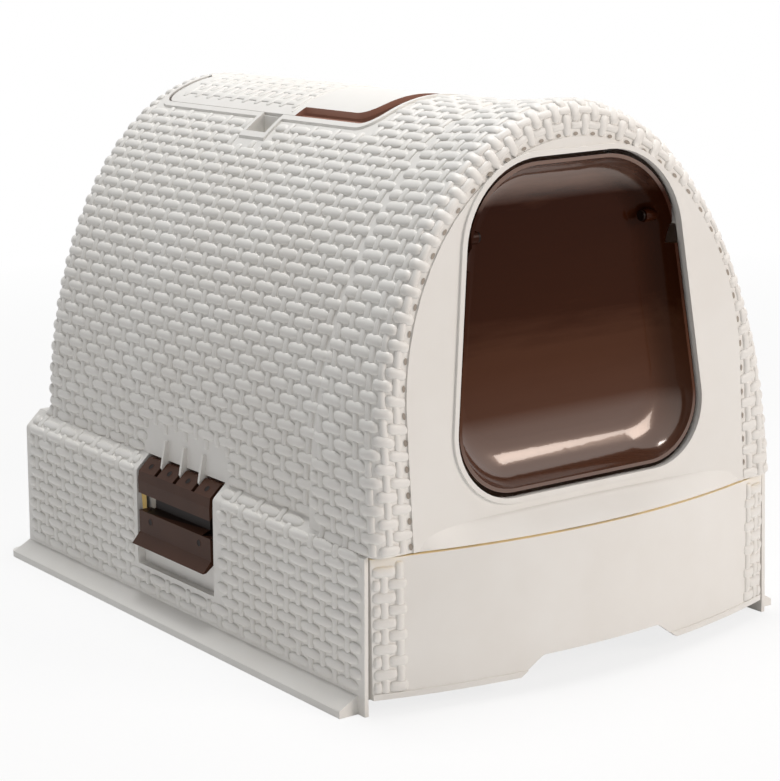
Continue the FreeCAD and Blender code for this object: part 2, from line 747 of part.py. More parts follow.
def hinge_fins(side):
    """Three thin fins on the dome wall that carry the clip's pin."""
    sign = SIDES[side]
    corners = [(f"{sign} * dome_rear_half_width", "shoulder_top + fin_rise"),
               (f"{sign} * (dome_rear_half_width + fin_root)", "shoulder_top + fin_rise"),
               (f"{sign} * (clip_pin_x + fin_reach)", "clip_pin_z"),
               (f"{sign} * (clip_pin_x + fin_reach / 2)", "clip_pin_z - fin_reach"),
               (f"{sign} * dome_rear_half_width", "clip_pin_z - fin_reach")]
    fins = []
    for number in (-1, 0, 1):
        middle = f"clip_centre_y + {number} * clip_lug_pitch"
        plane = upright_plane(f"{middle} + fin_width / 2")
        fins.append(prism(outline(f"fin_{side}_{number + 2}", plane, corners), "fin_width"))
    return fins


def clip_pin_rod(name, side, radius, margin):
    """A rod on a clip's hinge axis that stops a margin short of the clip's ends."""
    start = (f"{SIDES[side]} * (clip_pin_x)", f"clip_front_y + {margin}", "clip_pin_z")
    return rod(f"{name}_{side}", radius, "y", start, f"clip_width - 2 * {margin}")


def make_hood():
    shell = hood_shell()
    added = [shell, mouth_bead()]
    hollows = [roof_mouth("mouth", "0")]
    bores = []
    for side in SIDES:
        added += pocket_cup(side)
        added.append(clip_recess_block(side))
        boss_span = ("boss_inner", "boss_inner + boss_length")
        added.append(side_rod("flap_boss", side, "boss_radius", *boss_span, "flap_axis_y", "flap_axis_z"))
        added.append(side_box("flap_boss_root", side, boss_span,
                              ("flap_axis_y - flap_axis_depth + hood_wall / 2", "flap_axis_y"),
                              ("flap_axis_z - boss_radius", "flap_axis_z + boss_radius")))
        hollows.append(pocket_hollow(side))
        hollows += clip_recess_hollow(side)
        bores.append(side_rod("flap_bore", side, "flap_pin_radius + pin_clearance", "boss_inner - overrun",
                              "boss_inner + flap_pin_bite + pin_clearance", "flap_axis_y", "flap_axis_z"))
        bores.append(clip_pin_rod("clip_bore", side, "clip_pin_radius + pin_clearance", "clip_pin_margin"))
    opened = cut("hood_opened", fuse("hood_added", added), fuse("hood_hollows", hollows))
    fins = [fin for side in SIDES for fin in hinge_fins(side)]
    return cut("hood", fuse("hood_finned", [opened] + fins), fuse("hood_bores", bores))


subpart("hood", make_hood())


# Base tray: a shallow tray between the skirts, with runners and an outward rim that the clips catch

def make_base_tray():
    outer = box("base_outer", ("-base_half_width", "base_half_width"),
                ("-base_front_reach", "base_rear_reach"),
                ("0", "base_rim_height"))
    rear_corner = lambda edge: runs_along(edge, UP) and edge_middle(edge).y > 0
    outer = rounded(outer, "base_corner_round", rear_corner)
    inner = box("base_inner", ("base_wall - base_half_width", "base_half_width - base_wall"),
                ("-base_front_reach - overrun", "base_rear_reach - base_wall"),
                ("base_wall", "base_rim_height + overrun"))
    inner = rounded(inner, "base_corner_round - base_wall", rear_corner)
    rim = box("base_rim", ("-base_half_width - base_rim_width", "base_half_width + base_rim_width"),
              ("-base_front_reach", "base_rear_reach + base_rim_width / 2"),
              ("base_rim_height - base_rim_thickness", "base_rim_height"))
    rim = rounded(rim, "base_corner_round", rear_corner)
    tray = cut("base_walls", fuse("base_body", [outer, rim]), inner)
    runners = []
    for number in (-1, 0, 1):
        middle = f"{number} * runner_pitch"
        runners.append(box(f"runner_{number + 2}",
                           (f"{middle} - runner_width / 2", f"{middle} + runner_width / 2"),
                           ("-base_front_reach", "base_rear_reach - base_wall"), ("0", "runner_top")))
    return fuse("base", [tray] + runners)


subpart("base_tray", make_base_tray())


# Litter drawer: a deep tray with rounded corners behind a bowed front

def bowed_block(name, half_width, reach, rear, low, high, radius):
    """A block whose front follows the bow of the seam."""
    block = box(name + "_block", (f"-({half_width})", half_width), (f"-({reach}) - overrun", f"-({rear})"),
                (low, high))
    drum = rod(name + "_drum", radius, "z", ("0", f"({radius}) - ({reach})", low), f"({high}) - ({low})")
    return common(name, block, drum)


def make_litter_drawer():
    upright = lambda edge: runs_along(edge, UP)
    outer = box("drawer_outer", ("-drawer_half_width", "drawer_half_width"),
                ("-drawer_tray_front_reach", "drawer_rear_reach"), ("runner_top", "drawer_rim_z"))
    outer = rounded(outer, "drawer_corner_round", upright)
    inner = box("drawer_inner", ("drawer_wall - drawer_half_width", "drawer_half_width - drawer_wall"),
                ("drawer_wall - drawer_tray_front_reach", "drawer_rear_reach - drawer_wall"),
                ("runner_top + drawer_wall", "drawer_top + overrun"))
    inner = rounded(inner, "drawer_corner_round - drawer_wall", upright)
    inner = rounded(inner, "drawer_floor_round",
                    lambda edge: near(edge.BoundBox.ZMax, "runner_top + drawer_wall"))
    rim = box("drawer_rim", ("-drawer_half_width - drawer_rim_width", "drawer_half_width + drawer_rim_width"),
              ("-drawer_tray_front_reach", "drawer_rear_reach + drawer_rim_width"),
              ("drawer_rim_z - drawer_rim_thickness", "drawer_rim_z"))
    rim = rounded(rim, "drawer_corner_round", upright)
    front = bowed_block("fascia", "fascia_half_width", "bow_reach", "drawer_tray_front_reach - drawer_wall",
                        "fascia_foot_height", "drawer_top", "bow_radius")
    bead = bowed_block("fascia_bead", "fascia_half_width", "bow_reach + fascia_bead_proud",
                       "front_reach - lip_bow",
                       "fascia_foot_height", "fascia_foot_height + fascia_bead_height",
                       "bow_radius + fascia_bead_proud")
    hollow = bowed_block("fascia_hollow", "fascia_half_width - fascia_wall", "bow_reach - fascia_wall",
                         "drawer_tray_front_reach", "fascia_foot_height - overrun",
                         "drawer_top - fascia_wall",
                         "bow_radius - fascia_wall")
    notch = prism(outline("notch", upright_plane("-drawer_tray_front_reach - drawer_wall"), [
        ("notch_foot_half_width", "fascia_foot_height"),
        ("notch_head_half_width", "fascia_foot_height + notch_height"),
        ("-notch_head_half_width", "fascia_foot_height + notch_height"),
        ("-notch_foot_half_width", "fascia_foot_height")]),
        "bow_reach - drawer_tray_front_reach + overrun")
    notch = rounded(notch, "notch_round",
                    lambda edge: runs_along(edge, ALONG)
                    and edge_middle(edge).z > size("fascia_foot_height + notch_height / 2"))
    panel = cut("fascia_shell", fuse("fascia_body", [front, bead]), fuse("fascia_cuts", [hollow, notch]))
    return cut("drawer", fuse("drawer_body", [outer, rim, panel]), inner)


subpart("litter_drawer", make_litter_drawer())


# Swing flap: a dished tray of smoked plastic with a hub on each side

def dish(name, growth, depth):
    """A dish behind the front plane, from the doorway's outline through soft steps to a smaller flat back."""
    sections = []
    for number, (depth_share, inset_share) in enumerate(DISH_SHARES, 1):
        side = f"flap_gap + ({growth}) + flap_side_inset * {inset_share}"
        foot = f"door_foot_half_width - ({side})"
        head = f"door_head_half_width - ({side})"
        low = f"door_sill_rise + flap_gap + ({growth}) + flap_foot_inset * {inset_share}"
        high = f"door_sill_rise + door_height - flap_gap - ({growth}) - flap_head_inset * {inset_share}"
        foot_round = f"door_foot_round - ({side}) * dish_round_share"
        head_round = f"door_head_round - ({side}) * dish_round_share"
        sections.append(outline(f"{name}_{number}", front_plane(f"({depth}) * {depth_share}"), [
            (foot, low, foot_round), (head, high, head_round),
            (f"-({head})", high, head_round), (f"-({foot})", low, foot_round)]))
    return loft(name, sections, straight=False)


def make_door_flap():
    outer = dish("flap_outer", "0", "flap_depth")
    shell = cut("flap_shell", outer, dish("flap_inner", "flap_thickness", "flap_depth - flap_thickness"))
    hubs = []
    bores = []
    reliefs = []
    for side in SIDES:
        span = ("hub_outer - flap_hub_length", "hub_outer")
        hubs.append(side_rod("flap_hub", side, "flap_hub_radius", *span, "flap_axis_y", "flap_axis_z"))
        bores.append(side_rod("flap_hub_bore", side, "flap_pin_radius + pin_clearance",
                              "hub_outer - flap_hub_length - overrun", "hub_outer + overrun",
                              "flap_axis_y", "flap_axis_z"))
        reliefs.append(side_box("flap_relief", side,
                                ("door_half_at_axis - flap_gap - flap_relief", "boss_inner + overrun"),
                                ("-bow_reach", "flap_axis_y - flap_hub_radius"),
                                ("flap_axis_z - flap_relief_drop", "flap_axis_z + flap_relief_rise")))
    shell = cut("flap_relieved", shell, fuse("flap_reliefs", reliefs))
    return cut("flap", fuse("flap_hubbed", [shell] + hubs), fuse("flap_bores", bores))


subpart("door_flap", make_door_flap())


def make_flap_pin(side):
    head_end = "hub_outer - flap_hub_length - flap_hub_gap"
    stem = side_rod("flap_pin_stem", side, "flap_pin_radius", head_end, "boss_inner + flap_pin_bite",
                    "flap_axis_y", "flap_axis_z")
    head = side_rod("flap_pin_head", side, "flap_pin_head_radius", f"{head_end} - flap_pin_head_length",
                    head_end,
                    "flap_axis_y", "flap_axis_z")
    return fuse(f"flap_pin_{side}", [stem, head])


for side in SIDES:
    subpart(f"flap_pivot_pin_{side}", make_flap_pin(side))


# Side clips: one bent strip with four lugs on a pin, a nose that catches the base rim and a finger lip

def clip_section(side):
    face = [
        ("hinge_skin_x", "hinge_skin_z"),
        ("clip_face - clip_proud", "shoulder_height"),
        ("clip_face", "shoulder_height - clip_bend_drop"),
        ("clip_face", "nose_top - clip_nose_slope"),
        ("nose_face", "nose_top - clip_thickness - clip_nose_slope"),
        ("nose_face", "nose_foot + clip_thickness + clip_nose_slope"),
        ("clip_face", "nose_foot + clip_nose_slope"),
        ("clip_face", "bar_foot"),
        ("clip_face + clip_lip_reach", "bar_foot - clip_lip_drop"),
    ]
    back = [
        ("clip_face + clip_lip_reach - clip_thickness", "bar_foot - clip_lip_drop"),
        ("clip_back", "bar_foot - clip_thickness"),
        ("clip_back", "nose_foot"),
        ("nose_back", "nose_foot + clip_nose_slope"),
        ("nose_back", "nose_top - clip_nose_slope"),
        ("clip_back", "nose_top"),
        ("clip_back", "shoulder_height - clip_bend_drop"),
        ("clip_back - clip_proud", "shoulder_height - clip_thickness"),
        ("clip_pin_x - clip_barrel_radius * slant_out", "clip_pin_z - clip_barrel_radius * slant_up"),
    ]
    corners = [(f"{SIDES[side]} * ({u})", v) for u, v in face + back]
    return outline(f"clip_section_{side}", upright_plane("clip_rear_y"), corners)


def make_clip(side):
    strip = prism(clip_section(side), "clip_width")
    barrel = rod(f"clip_barrel_{side}", "clip_barrel_radius", "y",
                 (f"{SIDES[side]} * (clip_pin_x)", "clip_front_y", "clip_pin_z"), "clip_width")
    hollows = [clip_pin_rod("clip_eye", side, "clip_pin_radius + pin_clearance", "clip_eye_margin")]
    for number in (-1, 0, 1):
        middle = f"clip_centre_y + {number} * clip_lug_pitch"
        hollows.append(side_box(f"clip_slot_{number + 2}", side,
                                ("clip_pin_x - clip_slot_reach", "clip_pin_x + clip_slot_reach"),
                                (f"{middle} - clip_slot_width / 2", f"{middle} + clip_slot_width / 2"),
                                ("clip_pin_z - clip_slot_reach", "clip_pin_z + clip_slot_reach")))
    for end, (low, high) in {"front": ("clip_front_y - overrun", "clip_front_y + clip_end_cut"),
                             "rear": ("clip_rear_y - clip_end_cut", "clip_rear_y + overrun")}.items():
        hollows.append(side_box(f"clip_end_{end}", side, ("nose_back - overrun", "clip_face + overrun"),
                                (low, high),
                                ("nose_foot + clip_nose_slope", "nose_top - clip_nose_slope")))
    return cut(f"clip_{side}", fuse(f"clip_blank_{side}", [strip, barrel]),
               fuse(f"clip_hollows_{side}", hollows))


for side in SIDES:
    subpart(f"clip_{side}", make_clip(side))
    subpart(f"clip_pin_{side}", clip_pin_rod("clip_pin", side, "clip_pin_radius", "clip_pin_margin"))


# Filter lid: a panel of the roof's own curve with a lifting lip in front,
# and a round knuckle and a hook tongue behind

def make_filter_lid():
    corners = [("lid_lip_half_width", "-lip_front_reach", "lid_lip_round"),
               ("lid_lip_half_width", "lid_front_reach"),
               ("lid_half_width", "lid_front_reach"), ("lid_half_width", "lid_rear_reach", "lid_rear_round")]
    mirrored = [(f"-({corner[0]})", *corner[1:]) for corner in reversed(corners)]
    panel = roof_layer("lid_panel", roof_prism("lid_plan", corners + mirrored), "lid_crown",
                       "lid_crown - lid_thickness")
    across = ("-tongue_half_width", "tongue_half_width")
    root = box("tongue_root", across,
               ("lid_rear_reach - tongue_root", "lid_rear_reach - tongue_root + tongue_root_width"),
               ("tongue_top - tongue_thickness", "crown_height + lid_crown - lid_thickness / 2"))
    tongue = box("tongue", across, ("lid_rear_reach - tongue_root", "lid_rear_reach + tongue_reach"),
                 ("tongue_top - tongue_thickness", "tongue_top"))
    knuckle = rod("lid_knuckle", "lid_knuckle_radius", "x",
                  ("-tongue_half_width", "lid_rear_reach + lid_knuckle_gap",
                   "crown_height + lid_knuckle_rise"),
                  "2 * tongue_half_width")
    return fuse("lid", [panel, root, tongue, knuckle])


subpart("filter_lid", make_filter_lid())


# Filter tray: hangs under the roof mouth, with a finger well in front and a vented chamber for the pad

def make_filter_tray():
    flange_half = "tray_half_width + tray_flange_width"
    flange_front = "tray_front_reach + tray_flange_width"
    flange_plan = roof_prism("tray_flange_plan", [
        (flange_half, f"-({flange_front})"), (flange_half, "tray_rear_reach"),
        (f"-({flange_half})", "tray_rear_reach"), (f"-({flange_half})", f"-({flange_front})")])
    flange = roof_layer("tray_flange", flange_plan, "-tray_skin", "-tray_skin - tray_flange_thickness")
    across = ("-tray_half_width", "tray_half_width")
    inside = ("-tray_inner_half", "tray_inner_half")
    along = ("-tray_front_reach", "tray_rear_reach")
    high = "crown_height + overrun"
    bowl = common("tray_bowl", box("tray_block", across, along, ("tray_floor - tray_wall", high)),
                  dome_solid("tray_top", "-tray_skin - tray_flange_thickness / 2"))
    chamber = box("tray_chamber", inside, ("chamber_front", "chamber_rear"), ("tray_floor", high))
    well = cut("tray_well",
               box("tray_well_block", inside, ("tray_wall - tray_front_reach", "well_rear_reach"),
                                ("tray_floor", high)), dome_solid("well_floor", "-well_drop"))
    under = common("tray_under", box("tray_under_block", ("-flange_half_width", "flange_half_width"),
                                     ("-tray_front_reach - overrun", "well_rear_reach"),
                                     ("roof_floor", high)),
                   dome_solid("well_under", "-well_drop - tray_wall"))
    hollows = [chamber, well, under]
    pitch = "(chamber_rear - chamber_front) * vent_field_share / vent_count"
    for number in range(int(size("vent_count"))):
        middle = f"(chamber_front + chamber_rear) / 2 + ({number} - (vent_count - 1) / 2) * ({pitch})"
        hollows.append(box(f"vent_{number + 1}", ("-vent_half_length", "vent_half_length"),
                           (f"{middle} - vent_width / 2", f"{middle} + vent_width / 2"),
                           ("tray_floor - tray_wall - overrun", "tray_floor + tray_wall")))
    for side in SIDES:
        hollows.append(side_box("pocket_relief", side, ("tray_half_width", "pocket_outer + pocket_wall"),
                                ("pocket_front_y - pocket_wall - tray_flange_gap",
                                 "pocket_rear_y + pocket_wall + tray_flange_gap"), ("roof_floor", high)))
    return cut("filter_insert", fuse("tray_body", [flange, bowl]), fuse("tray_hollows", hollows))


subpart("filter_tray", make_filter_tray())


# Filter pad on the vented floor of the chamber

def make_carbon_filter():
    pad = box("pad", ("pad_gap - tray_inner_half", "tray_inner_half - pad_gap"),
              ("chamber_front + pad_gap", "chamber_rear - pad_gap"),
              ("tray_floor", "tray_floor + pad_thickness"))
    return rounded(pad, "pad_round", lambda edge: runs_along(edge, UP))


subpart("carbon_filter", make_carbon_filter())


# Every feature has to be sound before a file is written
document.recompute()
for feature in document.Objects:
    if "Invalid" in feature.State or "Error" in feature.State:
        raise RuntimeError(f"{feature.Name} failed: {feature.State}")
for feature in subparts:
    shape = feature.Shape
    if shape.isNull() or not shape.isValid() or len(shape.Solids) != 1:
        raise RuntimeError(f"{feature.Label} is not one sound solid")

os.makedirs("parts", exist_ok=True)
for feature in subparts:
    feature.Shape.Solids[0].exportStep(f"parts/{feature.Label}.step")
    bounds = feature.Shape.BoundBox
    print(f"{feature.Label}: {feature.Shape.Volume / 1000:.1f} cm3, "
          f"x {bounds.XMin:.1f} to {bounds.XMax:.1f}, y {bounds.YMin:.1f} to {bounds.YMax:.1f}, "
          f"z {bounds.ZMin:.1f} to {bounds.ZMax:.1f}")
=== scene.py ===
# %% [markdown]
# # A hooded litter box in woven-look plastic
# The box is moulded in ivory plastic: an arched hood with a rattan relief, a smoked flap in the
# doorway, a drawer below, brown clips on the sides and a filter lid in the roof. The solids arrive from
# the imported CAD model, so this lesson dresses them: camera, light, materials, the weave, and small
# fittings.

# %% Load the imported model
import math
import bpy
import numpy as np
from mathutils import Matrix, Vector
from mathutils.bvhtree import BVHTree


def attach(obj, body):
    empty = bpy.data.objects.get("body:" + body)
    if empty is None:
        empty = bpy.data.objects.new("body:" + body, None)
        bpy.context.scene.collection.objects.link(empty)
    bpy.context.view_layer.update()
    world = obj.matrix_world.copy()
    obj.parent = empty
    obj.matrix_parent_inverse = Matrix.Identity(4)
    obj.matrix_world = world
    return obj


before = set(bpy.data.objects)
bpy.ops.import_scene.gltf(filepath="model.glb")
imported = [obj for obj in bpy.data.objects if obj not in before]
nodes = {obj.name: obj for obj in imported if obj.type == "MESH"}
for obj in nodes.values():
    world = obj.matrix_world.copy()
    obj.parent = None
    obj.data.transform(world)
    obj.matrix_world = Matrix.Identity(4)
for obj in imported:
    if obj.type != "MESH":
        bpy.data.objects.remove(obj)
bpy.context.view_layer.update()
MM = 0.001
SIDES = (("left", -1), ("right", 1))

# %% [markdown]
# ## Camera
# The photograph looks at the front left corner from a little above, with a long lens. A camera could be
# aimed with a constraint, but here its axes are written out, because the picture is also rolled by a
# degree.

# %% Camera at the photograph's place
VIEW_TURN = math.radians(-35.19)
VIEW_RISE = math.radians(12.71)
VIEW_ROLL = math.radians(-1.0)
VIEW_DISTANCE = 1765.03 * MM
VIEW_TARGET = Vector((0, -8, 153.42)) * MM
FOCAL_PIXELS = 2357.03
FRAME_PIXELS = 781
SENSOR_WIDTH = 36

camera_data = bpy.data.cameras.new("photo_camera")
camera_data.sensor_width = SENSOR_WIDTH
camera_data.lens = FOCAL_PIXELS / FRAME_PIXELS * SENSOR_WIDTH
camera = bpy.data.objects.new("photo_camera", camera_data)
bpy.context.scene.collection.objects.link(camera)
away = Vector((math.sin(VIEW_TURN) * math.cos(VIEW_RISE), -math.cos(VIEW_TURN) * math.cos(VIEW_RISE),
               math.sin(VIEW_RISE)))
level_axis = Vector((math.cos(VIEW_TURN), math.sin(VIEW_TURN), 0))
upright = away.cross(level_axis)
side_axis = level_axis * math.cos(VIEW_ROLL) + upright * math.sin(VIEW_ROLL)
top_axis = upright * math.cos(VIEW_ROLL) - level_axis * math.sin(VIEW_ROLL)
camera.matrix_world = Matrix.Translation(VIEW_TARGET + away * VIEW_DISTANCE) @ Matrix(
    (side_axis, top_axis, away)).transposed().to_4x4()
bpy.context.scene.camera = camera
bpy.context.scene.view_settings.view_transform = "Standard"
print("lens in mm", round(camera_data.lens, 2))

# %% [markdown]
# ## Colours and nodes
# Colours are picked as sRGB hex values and turned to linear light, because shaders work in linear
# light. One small function adds any node, sets its sockets or properties, and links it.

# %% Colour and node helpers


def linear(hex_colour):
    """A hex colour as linear red, green, blue and alpha, by the formula of the sRGB standard."""
    parts = [int(hex_colour[k:k + 2], 16) / 255 for k in (0, 2, 4)]
    return [p / 12.92 if p <= 0.04045 else ((p + 0.055) / 1.055) ** 2.4 for p in parts] + [1]


def add(tree, kind, settings=None, links=None):
    """Adds a node, sets its inputs or properties by name, and links outputs of other nodes to it."""
    node = tree.nodes.new("ShaderNode" + kind)
    for key, value in (settings or {}).items():
        if isinstance(key, int) or key in node.inputs:
            node.inputs[key].default_value = value
        else:
            setattr(node, key, value)
    for key, (source, output) in (links or {}).items():
        tree.links.new(source.outputs[output], node.inputs[key])
    return node


def fill_ramp(ramp, stops):
    """Puts stops of a place and a linear colour on a colour ramp, instead of the two that it comes with."""
    elements = ramp.color_ramp.elements
    for place, colour in stops:
        elements.new(place).color = colour
    elements.remove(elements[0])
    elements.remove(elements[-1])


def new_material(name):
    """An empty material and its node tree."""
    material = bpy.data.materials.new(name)
    material.use_nodes = True
    material.node_tree.nodes.clear()
    return material, material.node_tree


WHITE = "FFFFFF"
print("white in linear light", linear(WHITE))

# %% [markdown]
# ## Floor and backdrop
# The product stands on white with hardly a shadow. Stronger lamps would make the floor white, but they
# would also burn out the pale plastic. So the floor is a white sheet that the camera sees brighter than
# the lamps make it, and wholly white further out, so that no horizon shows. Near the box it still holds
# a soft contact shadow. Light that bounces off it to the box sees plain matt paper, and the world is
# made the same way.

# %% Floor
# White paper gives the eye a matt sheet that takes a faint shadow near the box and fades to plain white.
FLOOR_SIZE = 80
PAPER_TONE = "F4F4F4"
FADE_START = 0.7
FADE_END = 1.6
NEAR_WHITE_SHARE = 0.8


def seen_rays(tree):
    """One for rays from the camera, a mirror or glass, and zero for light that bounces."""
    path = add(tree, "LightPath")
    seen = add(tree, "Math", {"operation": "MAXIMUM"},
               {0: (path, "Is Camera Ray"), 1: (path, "Is Glossy Ray")})
    return add(tree, "Math", {"operation": "MAXIMUM"}, {0: (seen, 0), 1: (path, "Is Transmission Ray")})


bpy.ops.object.select_all(action="DESELECT")
bpy.ops.mesh.primitive_plane_add(size=FLOOR_SIZE)
floor = bpy.context.object
floor.name = "studio_floor"
paper, tree = new_material("white studio paper")
matt = add(tree, "BsdfDiffuse", {"Color": linear(PAPER_TONE)})
glow = add(tree, "Emission", {"Color": linear(WHITE), "Strength": 1.0})
spot = add(tree, "TexCoord")
reach = add(tree, "VectorMath", {"operation": "LENGTH"}, {0: (spot, "Object")})
fade = add(tree, "MapRange",
           {"From Min": FADE_START, "From Max": FADE_END, "To Min": NEAR_WHITE_SHARE, "To Max": 1.0},
           {"Value": (reach, "Value")})
share = add(tree, "Math", {"operation": "MULTIPLY"}, {0: (seen_rays(tree), 0), 1: (fade, "Result")})
sheet = add(tree, "MixShader", None, {"Fac": (share, 0), 1: (matt, 0), 2: (glow, 0)})
add(tree, "OutputMaterial", None, {"Surface": (sheet, 0)})
floor.data.materials.append(paper)
print("floor is", FLOOR_SIZE, "m wide and wholly white from", FADE_END, "m outwards")

# %% World
WORLD_LIGHT = 0.222
world = bpy.data.worlds.new("white_studio")
bpy.context.scene.world = world
world.use_nodes = True
tree = world.node_tree
tree.nodes.clear()
strength = add(tree, "MapRange", {"To Min": WORLD_LIGHT, "To Max": 1.0}, {"Value": (seen_rays(tree), 0)})
sky = add(tree, "Background", {"Color": linear(WHITE)}, {"Strength": (strength, "Result")})
add(tree, "OutputWorld", None, {"Surface": (sky, 0)})
print("world lights the box with", WORLD_LIGHT)

# %% [markdown]
# ## Lamps
# The photograph has one soft light on the front and one from above, as two soft boxes in a studio give.
# Sun or spot lamps would throw hard shadows into the weave, so square area lamps are used.

# %% Soft lamps
# Places, aims and widths are in metres and powers in watts.
LAMPS = {
    "key_lamp": {"place": (1.2, -2.3, 1.3), "aim": (0, -0.1, 0.2), "width": 1.2, "power": 32,
                 "tint": "FFF4EC"},
    "top_lamp": {"place": (0.04, 0.05, 2.4), "aim": (0, 0, 0.2), "width": 0.9, "power": 36,
                 "tint": WHITE},
}


def soft_box(name, place, aim, width, power, tint):
    """A square area lamp at a place, turned towards an aim."""
    lamp = bpy.data.lights.new(name, "AREA")
    lamp.size = width
    lamp.energy = power
    lamp.color = linear(tint)[:3]
    holder = bpy.data.objects.new(name, lamp)
    holder.location = place
    holder.rotation_mode = "QUATERNION"
    holder.rotation_quaternion = (Vector(aim) - Vector(place)).to_track_quat("-Z", "Y")
    bpy.context.scene.collection.objects.link(holder)
    print(name, "of", power, "W is at", place)


for lamp_name, lamp_setup in LAMPS.items():
    soft_box(lamp_name, **lamp_setup)

# %% [markdown]
# ## Moulded plastics
# The hood and the drawer are injection-moulded polypropylene, satin, with a fine spark-eroded grain.
# The clips and the filter tray are brown ABS, and the pins acetal. A plain colour would look like
# paint, so two close tones drift over each piece, and the grain breaks up its sheen.

# %% Moulded plastics
# The mould's real grain is finer, and is drawn as coarse as it needs to show.
GRAIN = 0.9 * MM
GRAIN_DEPTH = 0.1 * MM
DRIFT = 60 * MM
DEEP_SHARE = 0.3
PALE_SHARE = 0.7
PLASTIC_IOR = 1.49
DULL_IOR = 1.2
TRAY_IOR = 1.3
# A faint glow of painted light, for the tray and for thin faces with light behind.
FAINT_GLOW = 0.3


def moulded(name, pale, deep, rough_low, rough_high, bump, ior=PLASTIC_IOR, glow=0.0):
    """Moulded plastic: two close tones that drift, a fine grain that breaks up the sheen, and a glow, none
    unless given, which is painted light.
    """
    material, tree = new_material(name)
    spot = add(tree, "TexCoord")
    drift = add(tree, "TexNoise", {"Scale": 1 / DRIFT, "Detail": 3.0, "Roughness": 0.6},
                {"Vector": (spot, "Object")})
    tone = add(tree, "ValToRGB", None, {"Fac": (drift, "Fac")})
    fill_ramp(tone, ((DEEP_SHARE, linear(deep)), (PALE_SHARE, linear(pale))))
    grain = add(tree, "TexNoise", {"Scale": 1 / GRAIN, "Detail": 2.0}, {"Vector": (spot, "Object")})
    sheen = add(tree, "MapRange", {"To Min": rough_low, "To Max": rough_high}, {"Value": (grain, "Fac")})
    relief = add(tree, "Bump", {"Strength": bump, "Distance": GRAIN_DEPTH}, {"Height": (grain, "Fac")})
    skin = add(tree, "BsdfPrincipled",
               {"IOR": ior, "Emission Color": linear(pale), "Emission Strength": glow},
               {"Base Color": (tone, "Color"), "Roughness": (sheen, "Result"), "Normal": (relief, "Normal")})
    add(tree, "OutputMaterial", None, {"Surface": (skin, 0)})
    return material


# Ivory gives the eye a soft satin white, hardly warm, that drifts a little from place to place.
ivory = moulded("ivory polypropylene moulded satin", "EEECE8", "EAE7E2", 0.36, 0.5, 0.25)
# Brown gives a dark, dull sheen: its IOR is under the real one's, since the clips mirror little white.
brown = moulded("brown ABS moulded semi-gloss", "4C3124", "42291D", 0.34, 0.46, 0.2, DULL_IOR)
# The pins' acetal gives nearly black. The same material is painted shade in the clips' channels, which
# little light reaches, and on the eyelets' sunk floors.
pin_acetal_and_painted_shade = moulded("dark acetal pin and painted shade", "1C120E", "160D0A", 0.35, 0.45, 0.1, DULL_IOR)
# The filter tray gives a paler brown. Its faint glow is painted light, which lifts the shade in the well
# under the lid's lip and stands for light that comes through the hood.
tray_brown_with_painted_glow = moulded("brown ABS filter tray with painted glow", "8A6455", "7E5849", 0.38, 0.5, 0.2, TRAY_IOR, FAINT_GLOW)
print("plastics:", [material.name for material in (ivory, brown, pin_acetal_and_painted_shade, tray_brown_with_painted_glow)])

# %% [markdown]
# ## Smoked flap
# The flap is polished smoked polystyrene, moulded so thin that the lit tray shows through its lower part.
# Real transmission would need a long render to come out clean, so that light is painted: the tones run up
# the flap on a ramp, paler low down and at the top border, with slight flow streaks, and a second ramp
# paints the reflections by letting only its borders shine.

# %% Smoked flap
# Gives the eye a deep glossy brown. The paler, warmer tone low down and the paler top border are painted
# light. The shine ramp paints the reflections onto the borders, where the lamps give a clear light along the
# lower border.
FLAP_FOOT = 132 * MM
FLAP_HEAD = 348 * MM
STREAK = 9 * MM
STREAK_STRETCH_SHARE = 0.12
STREAK_SHARE = 0.16
# The smoke's own deep brown in the middle, with painted light: paler low down and at the top border.
SMOKE_TONES_WITH_PAINTED_LIGHT = ((0.2, "553526"), (0.4, "4E2F20"), (0.52, "36190B"), (0.86, "2E1308"), (0.95, "5E3F31"))
# Painted reflection: how much the flap mirrors at each height, so that only the borders shine.
PAINTED_SHINE_SHARES = ((0.08, 0.95), (0.17, 0.6), (0.22, 0.1), (0.35, 0.05), (0.86, 0.05), (0.92, 0.9))
smoke, tree = new_material("smoked polystyrene polished")
spot = add(tree, "TexCoord")
parts = add(tree, "SeparateXYZ", None, {"Vector": (spot, "Object")})
height = add(tree, "MapRange", {"From Min": FLAP_FOOT, "From Max": FLAP_HEAD}, {"Value": (parts, "Z")})
flow = add(tree, "Mapping", {"Scale": (STREAK_STRETCH_SHARE, 1, 1)}, {"Vector": (spot, "Object")})
streak = add(tree, "TexNoise", {"Scale": 1 / STREAK, "Detail": 4.0, "Roughness": 0.55},
             {"Vector": (flow, "Vector")})
drift = add(tree, "Math", {"operation": "MULTIPLY_ADD", 1: STREAK_SHARE, 2: -STREAK_SHARE / 2},
            {0: (streak, "Fac")})
level_up = add(tree, "Math", {"operation": "ADD"}, {0: (height, "Result"), 1: (drift, 0)})
tone = add(tree, "ValToRGB", None, {"Fac": (level_up, 0)})
fill_ramp(tone, [(place, linear(colour)) for place, colour in SMOKE_TONES_WITH_PAINTED_LIGHT])
shine = add(tree, "ValToRGB", None, {"Fac": (height, "Result")})
fill_ramp(shine, [(place, (share, share, share, 1)) for place, share in PAINTED_SHINE_SHARES])
gloss = add(tree, "BsdfPrincipled", {"IOR": 1.5, "Roughness": 0.2, "Specular Tint": linear("F2DCCC")},
            {"Base Color": (tone, "Color"), "Specular IOR Level": (shine, "Color"),
             "Coat Weight": (shine, "Color")})
add(tree, "OutputMaterial", None, {"Surface": (gloss, 0)})
print(smoke.name, "has", len(SMOKE_TONES_WITH_PAINTED_LIGHT), "tones from foot to head")

# %% [markdown]
# ## Steel rods and carbon felt
# The clips turn on drawn steel rods, and a pad of needled carbon felt lies in the filter tray. Both are
# mostly hidden, so simple materials do: noise stretched along the rod for its draw lines, and a rough
# noise for fibres.

